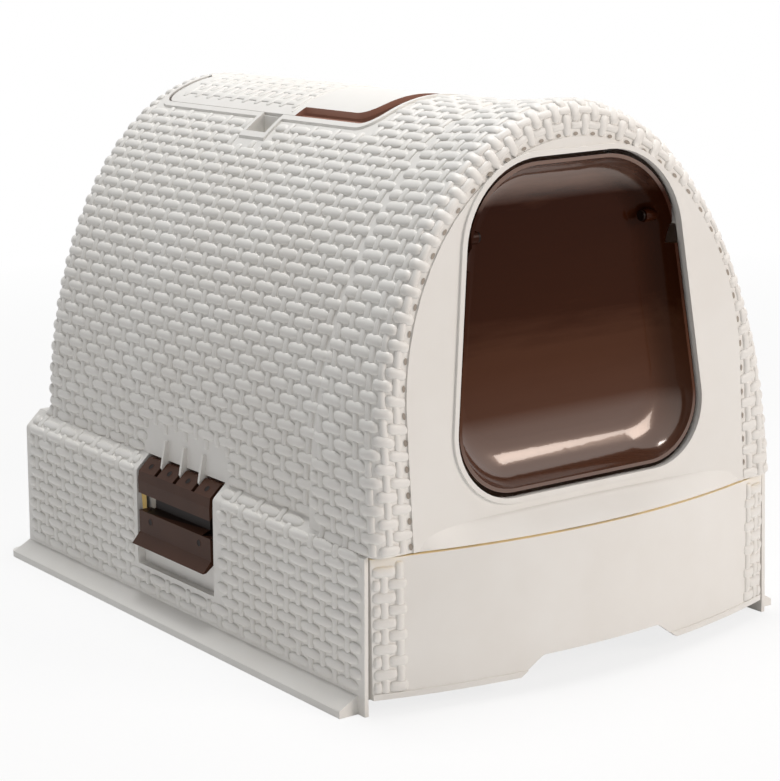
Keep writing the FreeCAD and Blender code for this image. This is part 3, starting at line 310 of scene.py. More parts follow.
# %% Drawn steel
# Gives the eye a grey metal with bright lines along the rod, drawn coarser than real ones so that they show.
DRAW_LINE = 0.4 * MM
DRAW_STRETCH_SHARE = 0.05
steel, tree = new_material("drawn steel rod")
spot = add(tree, "TexCoord")
stretch = add(tree, "Mapping", {"Scale": (1, DRAW_STRETCH_SHARE, 1)}, {"Vector": (spot, "Object")})
draw_lines = add(tree, "TexNoise", {"Scale": 1 / DRAW_LINE, "Detail": 2.0}, {"Vector": (stretch, "Vector")})
sheen = add(tree, "MapRange", {"To Min": 0.22, "To Max": 0.42}, {"Value": (draw_lines, "Fac")})
rod = add(tree, "BsdfPrincipled", {"Base Color": linear("BFC0C2"), "Metallic": 1.0},
          {"Roughness": (sheen, "Result")})
add(tree, "OutputMaterial", None, {"Surface": (rod, 0)})
print(steel.name, "has lines", round(DRAW_LINE / MM, 1), "mm apart")

# %% Carbon felt
# Gives the eye a black, matt nap with no shine.
FIBRE = 1.6 * MM
NAP_DEPTH = 0.6 * MM
felt, tree = new_material("carbon felt needled")
spot = add(tree, "TexCoord")
fibre = add(tree, "TexNoise", {"Scale": 1 / FIBRE, "Detail": 6.0, "Roughness": 0.7},
            {"Vector": (spot, "Object")})
tone = add(tree, "ValToRGB", None, {"Fac": (fibre, "Fac")})
tone.color_ramp.elements[0].color = linear("1A1A1C")
tone.color_ramp.elements[1].color = linear("3C3C40")
relief = add(tree, "Bump", {"Strength": 0.8, "Distance": NAP_DEPTH}, {"Height": (fibre, "Fac")})
nap = add(tree, "BsdfPrincipled", {"Roughness": 0.95, "Sheen Weight": 0.3},
          {"Base Color": (tone, "Color"), "Normal": (relief, "Normal")})
add(tree, "OutputMaterial", None, {"Surface": (nap, 0)})
print(felt.name, "has tufts of", round(FIBRE / MM, 1), "mm")

# %% [markdown]
# ## Dressing the CAD nodes
# Every solid of the CAD model gets the finish of the piece that it is. Their meshes stay as they came.

# %% Dress the CAD nodes
FINISH = {
    "hood": ivory, "base_tray": ivory, "litter_drawer": ivory, "filter_lid": ivory,
    "door_flap": smoke, "flap_pivot_pin_left": pin_acetal_and_painted_shade, "flap_pivot_pin_right": pin_acetal_and_painted_shade,
    "clip_left": brown, "clip_right": brown, "filter_tray": tray_brown_with_painted_glow,
    "clip_pin_left": steel, "clip_pin_right": steel, "carbon_filter": felt,
}
for node_name, finish in FINISH.items():
    slots = nodes[node_name].data.materials
    slots.clear()
    slots.append(finish)
print("dressed", len(FINISH), "nodes")

# %% [markdown]
# ## Faces with painted light, painted shade and the well's brown
# The ivory plastic is thin enough to let light through. Under the hood's lip, and at the rear end of the
# clip's channel, only light from behind reaches a face. So these faces are painted amber and glow as painted
# light, and the lip's glow lights the seam over the drawer. The clip's channel itself is painted near-black
# as painted shade, and the edge of the lid's lip shows the brown of the well. Such faces are picked by place
# and way, with no change of form.

# %% Painted amber light, painted shade in the channels, and the lid's lip
LIP_GLOW = 0.8
# Amber gives the eye a warm glow as of light behind a thin wall, and a stronger one under the lip; both
# glows are painted light.
AMBER_LOOK = ("CFB272", "C3A562", 0.45, 0.55, 0.2)
amber = moulded("thin ivory, painted light from behind", *AMBER_LOOK, glow=FAINT_GLOW)
lip_amber = moulded("thin ivory lip, painted light from behind", *AMBER_LOOK, glow=LIP_GLOW)
# Each box spans x on either side, y and z in millimetres.
UNDER_LIP = ((0, 200), (-260, -222), (105, 109))
CHANNEL_END = ((0, 172), (55, 75), (64, 101))
LID_LIP = ((0, 80), (-100, 35), (300, 400))
CLIP_CHANNEL = ((0, 173), (-60, 90), (66, 97))
FACING_SHARE = 0.7
STEEP_SHARE = 0.5


def tint_faces(node_name, finish, box, faces_so):
    """Gives the faces of a node that lie in a box and pass a test of their normal their own finish."""
    node = nodes[node_name]
    node.data.materials.append(finish)
    count = 0
    for face in node.data.polygons:
        x, y, z = node.matrix_world @ face.center / MM
        inside = all(low <= at <= high for at, (low, high) in zip((abs(x), y, z), box))
        if inside and faces_so(face.normal):
            face.material_index = len(node.data.materials) - 1
            count += 1
    print(node_name, "has", count, "faces in", finish.name)


# Painted light: faces under the lip and at the channel's end glow amber, and the lip's glow lights the seam
# over the drawer.
tint_faces("hood", lip_amber, UNDER_LIP, lambda way: way.z < -FACING_SHARE)
tint_faces("hood", amber, CHANNEL_END, lambda way: abs(way.y) > FACING_SHARE)
tint_faces("filter_lid", tray_brown_with_painted_glow, LID_LIP, lambda way: abs(way.z) < STEEP_SHARE)
# Painted shade: every face of the clips' channels takes the near-black.
for side, _ in SIDES:
    tint_faces(f"clip_{side}", pin_acetal_and_painted_shade, CLIP_CHANNEL, lambda way: True)

# %% [markdown]
# ## One strand and one stake of the weave
# The rattan look is a plain weave: rows of plump strands pass over every other stake, and between them
# the stake comes over the strand. Both are half-round bars, so each is modelled once from a cylinder,
# cut along its length so that it can bend, cut off below, and rounded at its ends. Copies are then laid
# on the moulded skin.

# %% Model the bars
# Shares are of a bar's half length, half width or height.
SINK_SHARE = 0.2
NEAR_SHARE = 0.001
STRAND_SIDES = 10
STRAND_CUT_SHARES = (-0.45, 0, 0.45)
STRAND_END_SHARE = 0.3
STAKE_SIDES = 8
STAKE_CUT_SHARES = (0,)
STAKE_END_SHARE = 0.35


def take_shape(thing):
    """Takes the points and faces of a finished shape, and removes its object."""
    spots = np.array([corner.co[:] for corner in thing.data.vertices])
    loops = [tuple(face.vertices) for face in thing.data.polygons]
    bpy.data.objects.remove(thing)
    return spots, loops


def half_round(name, sides, cut_shares, end_share):
    """A half-round bar of unit half length along Y, unit half width along X and unit height along Z."""
    bpy.ops.object.select_all(action="DESELECT")
    bpy.ops.mesh.primitive_cylinder_add(vertices=sides, radius=1, depth=2, rotation=(math.pi / 2, 0, 0))
    bar = bpy.context.object
    bar.name = name
    bpy.ops.object.transform_apply(location=True, rotation=True, scale=True)
    bpy.ops.object.mode_set(mode="EDIT")
    for cut in cut_shares:
        bpy.ops.mesh.select_all(action="SELECT")
        bpy.ops.mesh.bisect(plane_co=(0, cut, 0), plane_no=(0, 1, 0))
    bpy.ops.mesh.select_all(action="SELECT")
    bpy.ops.mesh.bisect(plane_co=(0, 0, -SINK_SHARE), plane_no=(0, 0, -1), use_fill=True, clear_outer=True)
    bpy.ops.mesh.select_mode(type="EDGE")
    bpy.ops.mesh.select_all(action="DESELECT")
    bpy.ops.object.mode_set(mode="OBJECT")
    corners = bar.data.vertices
    for edge in bar.data.edges:
        ends = [corners[k].co for k in edge.vertices]
        at_end = all(abs(abs(c.y) - 1) < NEAR_SHARE for c in ends)
        edge.select = at_end and not all(c.z < NEAR_SHARE - SINK_SHARE for c in ends)
    bpy.ops.object.mode_set(mode="EDIT")
    bpy.ops.mesh.bevel(offset=end_share, segments=2, affect="EDGES")
    bpy.ops.object.mode_set(mode="OBJECT")
    print(name, "has", len(bar.data.polygons), "faces")
    return take_shape(bar)


STRAND = half_round("strand", STRAND_SIDES, STRAND_CUT_SHARES, STRAND_END_SHARE)
STAKE = half_round("stake", STAKE_SIDES, STAKE_CUT_SHARES, STAKE_END_SHARE)

# %% [markdown]
# ## Charts of the skin
# A chart is a grid of points and outward normals on a moulded face, found by casting rays at the CAD
# mesh. A bar is laid by reading its place on the chart and standing its height off along the normal.
# Bending each bar by hand would never end, and a lattice would not follow the arch, the rim and the
# shoulders as closely.

# %% Chart of a face
LAST_CELL_SLACK = 0.0001


class Chart:
    """A grid of skin points over two lengths in millimetres, u along the strands and v across them.

    ray gives the start and the way of the ray for a place on the grid. A ray that misses takes the place
    of its neighbour.
    """

    def __init__(self, tree, u_span, v_span, step, ray):
        self.low = np.array([u_span[0], v_span[0]], float)
        self.count = [max(2, int(math.ceil((span[1] - span[0]) / step)) + 1) for span in (u_span, v_span)]
        self.step = np.array([(u_span[1] - u_span[0]) / (self.count[0] - 1),
                              (v_span[1] - v_span[0]) / (self.count[1] - 1)])
        points = np.zeros((*self.count, 3))
        normals = np.zeros((*self.count, 3))
        for i in range(self.count[0]):
            for j in range(self.count[1]):
                start, way = ray(self.low[0] + i * self.step[0], self.low[1] + j * self.step[1])
                hit, normal, _, _ = tree.ray_cast(Vector(start) * MM, Vector(way).normalized())
                if hit is None and j:
                    hit, normal = points[i, j - 1], normals[i, j - 1]
                elif hit is None:
                    hit, normal = Vector(start) * MM, -Vector(way)
                points[i, j] = hit
                normals[i, j] = normal
        self.points = points
        smooth = normals.copy()
        smooth[1:-1, 1:-1] = sum(normals[1 + a:self.count[0] - 1 + a, 1 + b:self.count[1] - 1 + b]
                                 for a in (-1, 0, 1) for b in (-1, 0, 1))
        self.normals = smooth

    def lay(self, u, v, height):
        """Points that stand a height off the skin, all lengths in millimetres, result in metres."""
        last = np.array(self.count) - 1 - LAST_CELL_SLACK
        place = [np.clip((np.asarray(w) - self.low[k]) / self.step[k], 0, last[k])
                 for k, w in enumerate((u, v))]
        i, j = (p.astype(int) for p in place)
        a = (place[0] - i)[..., None]
        b = (place[1] - j)[..., None]

        def blend(grid):
            return (grid[i, j] * (1 - a) * (1 - b) + grid[i + 1, j] * a * (1 - b)
                    + grid[i, j + 1] * (1 - a) * b + grid[i + 1, j + 1] * a * b)

        normal = blend(self.normals)
        normal /= np.linalg.norm(normal, axis=-1, keepdims=True)
        return blend(self.points) + normal * (np.asarray(height) * MM)[..., None]


def skin_of(node_name):
    """The mesh of a CAD node, ready for rays."""
    print("rays can be cast at", node_name)
    return BVHTree.FromObject(nodes[node_name], bpy.context.evaluated_depsgraph_get())


hood_skin = skin_of("hood")

# %% [markdown]
# ## Weaving a field
# A field of weave is a list of rows and columns on one chart. Where the row number and the column
# number add up to an even number a strand lies on top, and otherwise a stake. Bars stop at the field's
# edge and at smooth places such as the lid's mouth, as they do on the real moulding. An array modifier
# could repeat bars, but not end them there.

# %% Sizes of the weave and the way to join copies
ROW_PITCH = 8.65
STAKE_PITCH = 14.5
STRAND_WIDTH = 7.9
STRAND_HEIGHT = 2.2
STRAND_DIVE = 0.4
STRAND_DIVE_SHARE = 0.98
STRAND_TAPER_SHARE = 0.92
STRAND_LEAST_SHARE = 0.45
STAKE_WIDTH = 6.2
STAKE_WIDTH_SHARE = 0.56
STAKE_HEIGHT = 1.8
STAKE_REACH_SHARE = 0.72
STAKE_TAPER_SHARE = 0.9
STAKE_LEAST_SHARE = 0.5


def join_copies(name, copies, finish):
    """Joins copies, each with its points and the faces of its shape, to one piece with a finish."""
    faces = []
    count = 0
    for spots, loops in copies:
        faces += [tuple(k + count for k in loop) for loop in loops]
        count += len(spots)
    mesh = bpy.data.meshes.new(name)
    mesh.from_pydata(np.concatenate([spots for spots, _ in copies]).tolist(), [], faces)
    mesh.materials.append(finish)
    piece = bpy.data.objects.new(name, mesh)
    bpy.context.scene.collection.objects.link(piece)
    print(name, "has", len(copies), "copies and", sum(len(face) - 2 for face in faces), "triangles")
    return piece


def join_bars(name, bars, body):
    """Joins laid bars to one smooth ivory piece that rides on a body."""
    piece = join_copies(name, bars, ivory)
    bpy.ops.object.select_all(action="DESELECT")
    piece.select_set(True)
    bpy.context.view_layer.objects.active = piece
    bpy.ops.object.mode_set(mode="EDIT")
    bpy.ops.mesh.select_all(action="SELECT")
    bpy.ops.mesh.normals_make_consistent(inside=False)
    bpy.ops.object.mode_set(mode="OBJECT")
    bpy.ops.object.shade_smooth()
    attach(piece, body)


print("rows", ROW_PITCH, "mm apart and stakes", STAKE_PITCH, "mm apart")

# %% Where a bar lies and how it ends


def open_span(low, high, cross_low, cross_high, bars):
    """The longest part of a span that keeps off the barred boxes (low, high, cross low, cross high)."""
    for bar_low, bar_high, bar_cross_low, bar_cross_high in bars:
        beside = cross_high <= bar_cross_low or cross_low >= bar_cross_high
        if beside or high <= bar_low or low >= bar_high:
            continue
        before = (low, min(high, bar_low))
        after = (max(low, bar_high), high)
        low, high = max((before, after), key=lambda part: part[1] - part[0])
    return low, high


def fullness(base, taper):
    """How full a bar is along its length: one in the middle, and less towards its ends."""
    return np.sqrt(1 - (taper * np.abs(base[:, 1])) ** 3)


def dived(base, taper):
    """Heights of a bar's points, which fall towards its ends so that they dive under the next bar."""
    return np.where(base[:, 2] > 0, base[:, 2] * fullness(base, taper), base[:, 2])


def level_span(low, high):
    """A span that is the same in every row."""
    return lambda row: (low, high)


def first_bar(sign):
    """Zero on the left and one on the right, so that both halves meet at the crown as one weave."""
    return (sign + 1) // 2


print("a strand stands", STRAND_HEIGHT, "mm and a stake", STAKE_HEIGHT, "mm off the skin")

# %% Weave a field


def weave(name, chart, rows, columns, span, v_span, barred, body, depth=1.0, first=0,
          taper=STRAND_TAPER_SHARE):
    """Lays strands and stakes on a chart and joins them to one piece that rides on a body.

    span gives the lowest and highest u of a row, and barred lists smooth boxes that bars keep off. A taper
    near one rounds the strands' ends to ovals, and a smaller one leaves them blunt.
    """
    turned = [(c, d, a, b) for a, b, c, d in barred]
    gaps = [min(abs(u - w) for w in columns if w != u) for u in columns]
    bars = []

    def strand(u, v, gap, stake_half):
        half = gap - stake_half + STRAND_DIVE
        low, high = max(u - half, span(v)[0]), min(u + half, span(v)[1])
        low, high = open_span(low, high, v - STRAND_WIDTH / 2, v + STRAND_WIDTH / 2, barred)
        inside = v_span[0] + STRAND_WIDTH / 2 <= v <= v_span[1] - STRAND_WIDTH / 2
        if inside and high - low >= STRAND_LEAST_SHARE * gap:
            base, loops = STRAND
            along = (low + high) / 2 + base[:, 1] * (high - low) / 2
            across = v + base[:, 0] * fullness(base, taper) * STRAND_WIDTH / 2
            rise = dived(base, STRAND_DIVE_SHARE) * STRAND_HEIGHT * depth
            bars.append((chart.lay(along, across, rise), loops))

    def stake(u, v, stake_half):
        reach = ROW_PITCH * STAKE_REACH_SHARE
        low, high = max(v - reach, v_span[0]), min(v + reach, v_span[1])
        low, high = open_span(low, high, u - stake_half, u + stake_half, turned)
        ends = [span(low), span(high)]
        left = max(end[0] for end in ends)
        right = min(end[1] for end in ends)
        inside = left <= u - stake_half and u + stake_half <= right
        if inside and high - low >= STAKE_LEAST_SHARE * ROW_PITCH:
            base, loops = STAKE
            along = (low + high) / 2 + base[:, 1] * (high - low) / 2
            across = u + base[:, 0] * stake_half
            rise = dived(base, STAKE_TAPER_SHARE) * STAKE_HEIGHT * depth
            bars.append((chart.lay(across, along, rise), loops))

    for i, v in enumerate(rows):
        for j, u in enumerate(columns):
            stake_half = min(STAKE_WIDTH, STAKE_WIDTH_SHARE * gaps[j]) / 2
            if (i + j + first) % 2 == 0:
                strand(u, v, gaps[j], stake_half)
            else:
                stake(u, v, stake_half)
    join_bars(name, bars, body)


print("strands are", STRAND_WIDTH, "mm wide, and stakes", STAKE_WIDTH, "mm at most")

# %% [markdown]
# ## Weave on the arch
# Over the arch the strands run front to back and the stakes run round. The chart counts its rows by
# length along the middle section's half ellipse, from the crown down, so that rows keep their pitch on
# the flanks. Rows at even heights would be simpler, but they would spread out over the crown.

# %% Arch lengths
SPRINGING = 107
ARCH_HALF = 165
ARCH_RISE = 269.5
ARCH_POINTS = 721
ARCH_CAST = 60
turns = np.linspace(0, math.pi / 2, ARCH_POINTS)
steps = np.hypot(np.diff(ARCH_HALF * np.sin(turns)), np.diff(ARCH_RISE * np.cos(turns)))
lengths = np.concatenate([[0], np.cumsum(steps)])
QUARTER = lengths[-1]


def arch_turn(length):
    """The ellipse angle, from the crown, at a length along the arch, with the right side positive."""
    return math.copysign(np.interp(abs(length), lengths, turns), length)


def arch_ray(y, length):
    turn = arch_turn(length)
    out = Vector((math.sin(turn) / ARCH_HALF, 0, math.cos(turn) / ARCH_RISE)).normalized()
    spot = Vector((ARCH_HALF * math.sin(turn), y, SPRINGING + ARCH_RISE * math.cos(turn)))
    return spot + out * ARCH_CAST, -out


ROWS_PER_SIDE = round(QUARTER / ROW_PITCH)
arch_rows = [(k + 0.5) * QUARTER / ROWS_PER_SIDE for k in range(ROWS_PER_SIDE)]
print("half arch", round(QUARTER, 1), "mm,", ROWS_PER_SIDE, "rows a side")

# %% Arch fields, left and right
ARCH_FRONT = -153
ARCH_REAR = 236
ARCH_CHART_STEP = 3
ARCH_FIRST_STAKE = 9
ARCH_STAKES = 27
SHOULDER_GAP = 8.9
SHOULDER_LENGTH = QUARTER - SHOULDER_GAP
LID_MOUTH = (-77.5, 219.5, -67.5, 67.5)
FINGER_POCKETS = (32, 70, -88.5, 88.5)
CLIP_PATCH = (-43, 72)
CLIP_PATCH_RISE = 28
arch_chart = Chart(hood_skin, (ARCH_FRONT, ARCH_REAR), (-QUARTER, QUARTER), ARCH_CHART_STEP, arch_ray)
arch_columns = [ARCH_FRONT + ARCH_FIRST_STAKE + k * STAKE_PITCH for k in range(ARCH_STAKES)]
for side, sign in SIDES:
    rows = [sign * length for length in arch_rows]
    clip_patch = (*CLIP_PATCH, *sorted((sign * (QUARTER - CLIP_PATCH_RISE), sign * QUARTER)))
    weave(f"weave_arch_{side}", arch_chart, rows, arch_columns, level_span(ARCH_FRONT, ARCH_REAR),
          sorted((0, sign * SHOULDER_LENGTH)), [LID_MOUTH, FINGER_POCKETS, clip_patch], "housing",
          first=first_bar(sign))

# %% [markdown]
# ## Weave round the rim
# The rows of the arch go on over the flared rim: along its side, round its front corner, and over the
# front face to the smooth panel about the doorway. The chart measures that path outwards from the
# panel's edge, since the stakes on the front follow the panel and not the outer edge. The panel's edge
# is found by halving a span.

# %% Woven band between the panel and the rim's outline
RIM_HALF = 174
RIM_RISE = 279
PANEL_HALF = 144.5
PANEL_SIDE_RISE = 87
PANEL_TOP = 255
BAND_LIMIT = 60
BAND_HALVINGS = 20


def rim_edge(length):
    """The place on the rim's front outline and the outward way in its plane, at a length of the arch."""
    turn = arch_turn(length)
    flat = Vector((RIM_HALF * math.sin(turn), RIM_RISE * math.cos(turn)))
    way = Vector((math.sin(turn) / RIM_HALF, math.cos(turn) / RIM_RISE)).normalized()
    return flat, way


def on_panel(spot):
    """Whether a place in the rim's plane is on the smooth panel, which is straight below and oval above."""
    if spot.y <= PANEL_SIDE_RISE:
        return abs(spot.x) <= PANEL_HALF
    return math.hypot(spot.x / PANEL_HALF, (spot.y - PANEL_SIDE_RISE) / (PANEL_TOP - PANEL_SIDE_RISE)) <= 1


def band_width(length):
    """How wide the woven band is on the front face, from the panel's edge to the rim's outline."""
    flat, way = rim_edge(length)
    low, high = 0, BAND_LIMIT
    for _ in range(BAND_HALVINGS):
        middle = (low + high) / 2
        low, high = (low, middle) if on_panel(flat - way * middle) else (middle, high)
    return high


print("band at the crown and the foot", [round(band_width(at), 1) for at in (0, QUARTER)])

# %% Path over the rim
LEAN = math.radians(3.4)
RIM_ROUND = 10
RIM_CORNER = RIM_ROUND * math.pi / 2
RIM_BACK = -155
RIM_CAST = 40
RIM_PANEL_GAP = 0.4
RIM_BACK_GAP = 1.2
FRONT_FOOT = -235
plane_up = Vector((0, math.sin(LEAN), math.cos(LEAN)))
plane_out = Vector((0, -math.cos(LEAN), math.sin(LEAN)))


def rim_ray(path, length):
    flat, way = rim_edge(length)
    width = band_width(length)
    out = Vector((way.x, 0, 0)) + plane_up * way.y
    foot = Vector((0, FRONT_FOOT, SPRINGING))

    def lift(spot):
        return foot + Vector((spot.x, 0, 0)) + plane_up * spot.y

    if path <= width - RIM_ROUND:
        return lift(flat - way * (width - path)) + plane_out * RIM_CAST, -plane_out
    bend = min(path - width + RIM_ROUND, RIM_CORNER) / RIM_ROUND
    centre = lift(flat - way * RIM_ROUND) - plane_out * RIM_ROUND
    aim = plane_out * math.cos(bend) + out * math.sin(bend)
    back = max(path - width + RIM_ROUND - RIM_CORNER, 0)
    return centre + aim * RIM_CAST + Vector((0, back, 0)), -aim


def rim_span(length):
    flat, _ = rim_edge(length)
    side_front = FRONT_FOOT + flat.y * math.sin(LEAN) + RIM_ROUND
    end = band_width(length) - RIM_ROUND + RIM_CORNER + RIM_BACK - side_front
    return RIM_PANEL_GAP, end - RIM_BACK_GAP


print("rim path at the crown and the foot", [round(rim_span(at)[1], 1) for at in (0, QUARTER)])

# %% Rim fields, left and right
RIM_FRONT_STAKES = (7.5, 17.5, 30)
RIM_SIDE_STAKES = 5
RIM_PATH = (0, 108)
RIM_FOOT_GAP = 1.2
RIM_CHART_STEP = 2.5
RIM_TAPER_SHARE = 0.85
SHOULDER_PATH = (97, 120)
SHOULDER_RISE = 11
rim_columns = [*RIM_FRONT_STAKES]
rim_columns += [RIM_FRONT_STAKES[-1] + k * STAKE_PITCH for k in range(1, RIM_SIDE_STAKES + 1)]
rim_foot_length = QUARTER - RIM_FOOT_GAP
rim_chart = Chart(hood_skin, RIM_PATH, (-rim_foot_length, rim_foot_length), RIM_CHART_STEP, rim_ray)
for side, sign in SIDES:
    rows = [sign * length for length in arch_rows]
    shoulder = (*SHOULDER_PATH, *sorted((sign * (QUARTER - SHOULDER_RISE), sign * QUARTER)))
    weave(f"weave_rim_{side}", rim_chart, rows, rim_columns, rim_span, sorted((0, sign * QUARTER)),
          [shoulder], "housing", first=first_bar(sign), taper=RIM_TAPER_SHARE)

# %% [markdown]
# ## Small pits along the panel
# Where a strand of the rim dives under at the panel's edge, the mould leaves a small pit. Cutting the hood
# would change the CAD mesh, so each pit is a shallow dish, dished from a circle by an inset, on the rim's
# chart, and coloured grey as painted shade.

# %% Pits
# The pits' grey on ivory is painted shade, for a small gap that light hardly reaches.
shade = moulded("painted shade in the pits on ivory polypropylene", "A89E93", "9C9287", 0.5, 0.6, 0.2)
PIT_SIDES = 10
PIT_INSET_SHARE = 0.3
PIT_DIP_SHARE = 0.2
PIT_DEPTH_SHARE = 0.5
PIT_PLACE = 1.8
PIT_HALF_WIDTH = 1.2
PIT_HALF_LENGTH = 2.3
PIT_HEIGHT = 0.45


def pit_shape():
    """A shallow oval dish of unit half sizes."""
    bpy.ops.object.select_all(action="DESELECT")
    bpy.ops.mesh.primitive_circle_add(vertices=PIT_SIDES, radius=1, fill_type="NGON")
    dish = bpy.context.object
    bpy.ops.object.mode_set(mode="EDIT")
    bpy.ops.mesh.select_all(action="SELECT")
    bpy.ops.mesh.inset(thickness=PIT_INSET_SHARE, depth=-PIT_DIP_SHARE)
    bpy.ops.object.mode_set(mode="OBJECT")
    return take_shape(dish)


pit_base, pit_loops = pit_shape()
pit_rise = PIT_HEIGHT + pit_base[:, 2] * PIT_HALF_WIDTH * PIT_DEPTH_SHARE
for side, sign in SIDES:
    pits = []
    for k, length in enumerate(arch_rows):
        if (k + first_bar(sign)) % 2:
            out = PIT_PLACE + pit_base[:, 0] * PIT_HALF_WIDTH
            along = sign * length + pit_base[:, 1] * PIT_HALF_LENGTH
            pits.append((rim_chart.lay(out, along, pit_rise), pit_loops))
    piece = join_copies(f"weave_pits_{side}", pits, shade)
    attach(piece, "housing")

# %% [markdown]
# ## Weave on the skirts and the shoulders
# The skirts carry the same weave in level rows, and two more rows lie on the sloping shoulder. A smooth
# frame stays free round the clip's recess. One chart bends from the upright skirt to the shoulder, so
# that the rows run on without a seam, which two charts would leave.

# %% Skirt fields
SKIRT_HALF = 176
SKIRT_FOOT = 13
SKIRT_HEAD = 106
SKIRT_CAST = 240
SHOULDER_IN = 13
SHOULDER_UP = 12
SHOULDER_CAST = 30
SHOULDER_RUN = math.hypot(SHOULDER_IN, SHOULDER_UP)
SKIRT_FIRST_ROW = 5.8
SKIRT_ROWS = 12
SKIRT_FIRST_STAKE = -221.5
SKIRT_STAKES = 33
SKIRT_ENDS = (-222.5, 242)
SKIRT_RISE = (1.6, 109)
SKIRT_CHART_ENDS = (-224, 244)
SKIRT_CHART_RISE = (0, 110)
SKIRT_CHART_STEP = 3
CLIP_FRAME = (-44.5, 73.5, 18.6, 140)
RIM_FOOT = (-230, -150, 97, 112)


def skirt_rays(sign):
    """Rays at the skirt and the shoulder of one side."""
    def ray(y, rise):
        slope = max(rise - SKIRT_HEAD + SKIRT_FOOT, 0) / SHOULDER_RUN
        if slope:
            spot = Vector((sign * (SKIRT_HALF - SHOULDER_IN * slope), y, SKIRT_HEAD + SHOULDER_UP * slope))
            out = Vector((sign, 0, 1)).normalized()
            return spot + out * SHOULDER_CAST, -out
        return Vector((sign * SKIRT_CAST, y, SKIRT_FOOT + rise)), Vector((-sign, 0, 0))

    return ray


skirt_rows = [SKIRT_FIRST_ROW + k * ROW_PITCH for k in range(SKIRT_ROWS)]
skirt_columns = [SKIRT_FIRST_STAKE + k * STAKE_PITCH for k in range(SKIRT_STAKES)]
for side, sign in SIDES:
    skirt_chart = Chart(hood_skin, SKIRT_CHART_ENDS, SKIRT_CHART_RISE, SKIRT_CHART_STEP, skirt_rays(sign))
    weave(f"weave_skirt_{side}", skirt_chart, skirt_rows, skirt_columns, level_span(*SKIRT_ENDS),
          SKIRT_RISE, [CLIP_FRAME, RIM_FOOT], "housing", first=1)

# %% [markdown]
# ## Weave on the rear
# The rear wall is not seen in the photograph. It could stay smooth, but such a hood is moulded in one
# tool, so it is given the same weave inside its rounded edge, with a smooth belt where the shoulders
# end.

# %% Rear field
REAR_RISE = 267
REAR_HALF = 163
REAR_BORDER = 20
REAR_CAST = 330
REAR_FIRST_ROW = 21.5
REAR_ROWS = 37
REAR_SIDE_STAKES = 10
REAR_HEIGHTS = (16, 344)
REAR_CHART_WIDTH = (-160, 160)
REAR_CHART_HEIGHTS = (14, 350)
REAR_CHART_STEP = 4
REAR_BELT = (-200, 200, 103, 121)


def rear_ray(x, z):
    return (x, REAR_CAST, z), (0, -1, 0)


def rear_span(z):
    height_share = min(max((z - SPRINGING) / REAR_RISE, 0), 1)
    half = REAR_HALF * math.sqrt(1 - height_share ** 2) - REAR_BORDER
    return -half, half


rear_rows = [REAR_FIRST_ROW + k * ROW_PITCH for k in range(REAR_ROWS)]
rear_columns = [k * STAKE_PITCH for k in range(-REAR_SIDE_STAKES, REAR_SIDE_STAKES + 1)]
rear_chart = Chart(hood_skin, REAR_CHART_WIDTH, REAR_CHART_HEIGHTS, REAR_CHART_STEP, rear_ray)
weave("weave_rear", rear_chart, rear_rows, rear_columns, rear_span, REAR_HEIGHTS, [REAR_BELT], "housing")

# %% [markdown]
# ## Weave on the drawer
# The drawer's front is smooth between two woven ends of two stakes each. The same function weaves them,
# with blunter strands, because the photograph shows them cut off square there.

# %% Drawer ends
DRAWER_STAKES = (153.5, 163.5, 173.5)
DRAWER_END = (148.9, 171)
DRAWER_FIRST_ROW = 18.5
DRAWER_ROWS = 10
DRAWER_HEIGHTS = (14.5, 104)
DRAWER_CHART_HEIGHTS = (13, 105)
DRAWER_CHART_STEP = 2
DRAWER_CAST = -330
DRAWER_TAPER_SHARE = 0.75
drawer_skin = skin_of("litter_drawer")
drawer_rows = [DRAWER_FIRST_ROW + k * ROW_PITCH for k in range(DRAWER_ROWS)]


def drawer_ray(x, z):
    return (x, DRAWER_CAST, z), (0, 1, 0)


for side, sign in SIDES:
    ends = sorted(sign * x for x in DRAWER_END)
    drawer_columns = [sign * x for x in DRAWER_STAKES]
    drawer_chart = Chart(drawer_skin, ends, DRAWER_CHART_HEIGHTS, DRAWER_CHART_STEP, drawer_ray)
    weave(f"weave_drawer_{side}", drawer_chart, drawer_rows, drawer_columns, level_span(*ends),
          DRAWER_HEIGHTS, [], "drawer", taper=DRAWER_TAPER_SHARE)

# %% [markdown]
# ## Weave and seam on the lid
# The lid carries the weave in lower relief, with its strands across, inside a plain border. A fine
# raised line parts the plain lifting lip from the woven part, from one edge of the lid to the other.
# The line is one more half-round bar, cut often enough to follow the curve of the roof.

# %% Lid
LID_CAST = 460
LID_HALF = 50
LID_REACH = (34, 203)
LID_FIRST_ROW = 39
LID_ROWS = 19
LID_SIDE_STAKES = 3
LID_DEPTH_SHARE = 0.5
LID_CHART_WIDTH = (-54.5, 54.5)
LID_CHART_REACH = (32, 205)
LID_CHART_STEP = 3
lid_skin = skin_of("filter_lid")


def lid_ray(x, y):
    return (x, y, LID_CAST), (0, 0, -1)


lid_chart = Chart(lid_skin, LID_CHART_WIDTH, LID_CHART_REACH, LID_CHART_STEP, lid_ray)
lid_rows = [LID_FIRST_ROW + k * ROW_PITCH for k in range(LID_ROWS)]
lid_columns = [k * STAKE_PITCH for k in range(-LID_SIDE_STAKES, LID_SIDE_STAKES + 1)]
weave("weave_lid", lid_chart, lid_rows, lid_columns, level_span(-LID_HALF, LID_HALF), LID_REACH, [], "lid",
      depth=LID_DEPTH_SHARE)

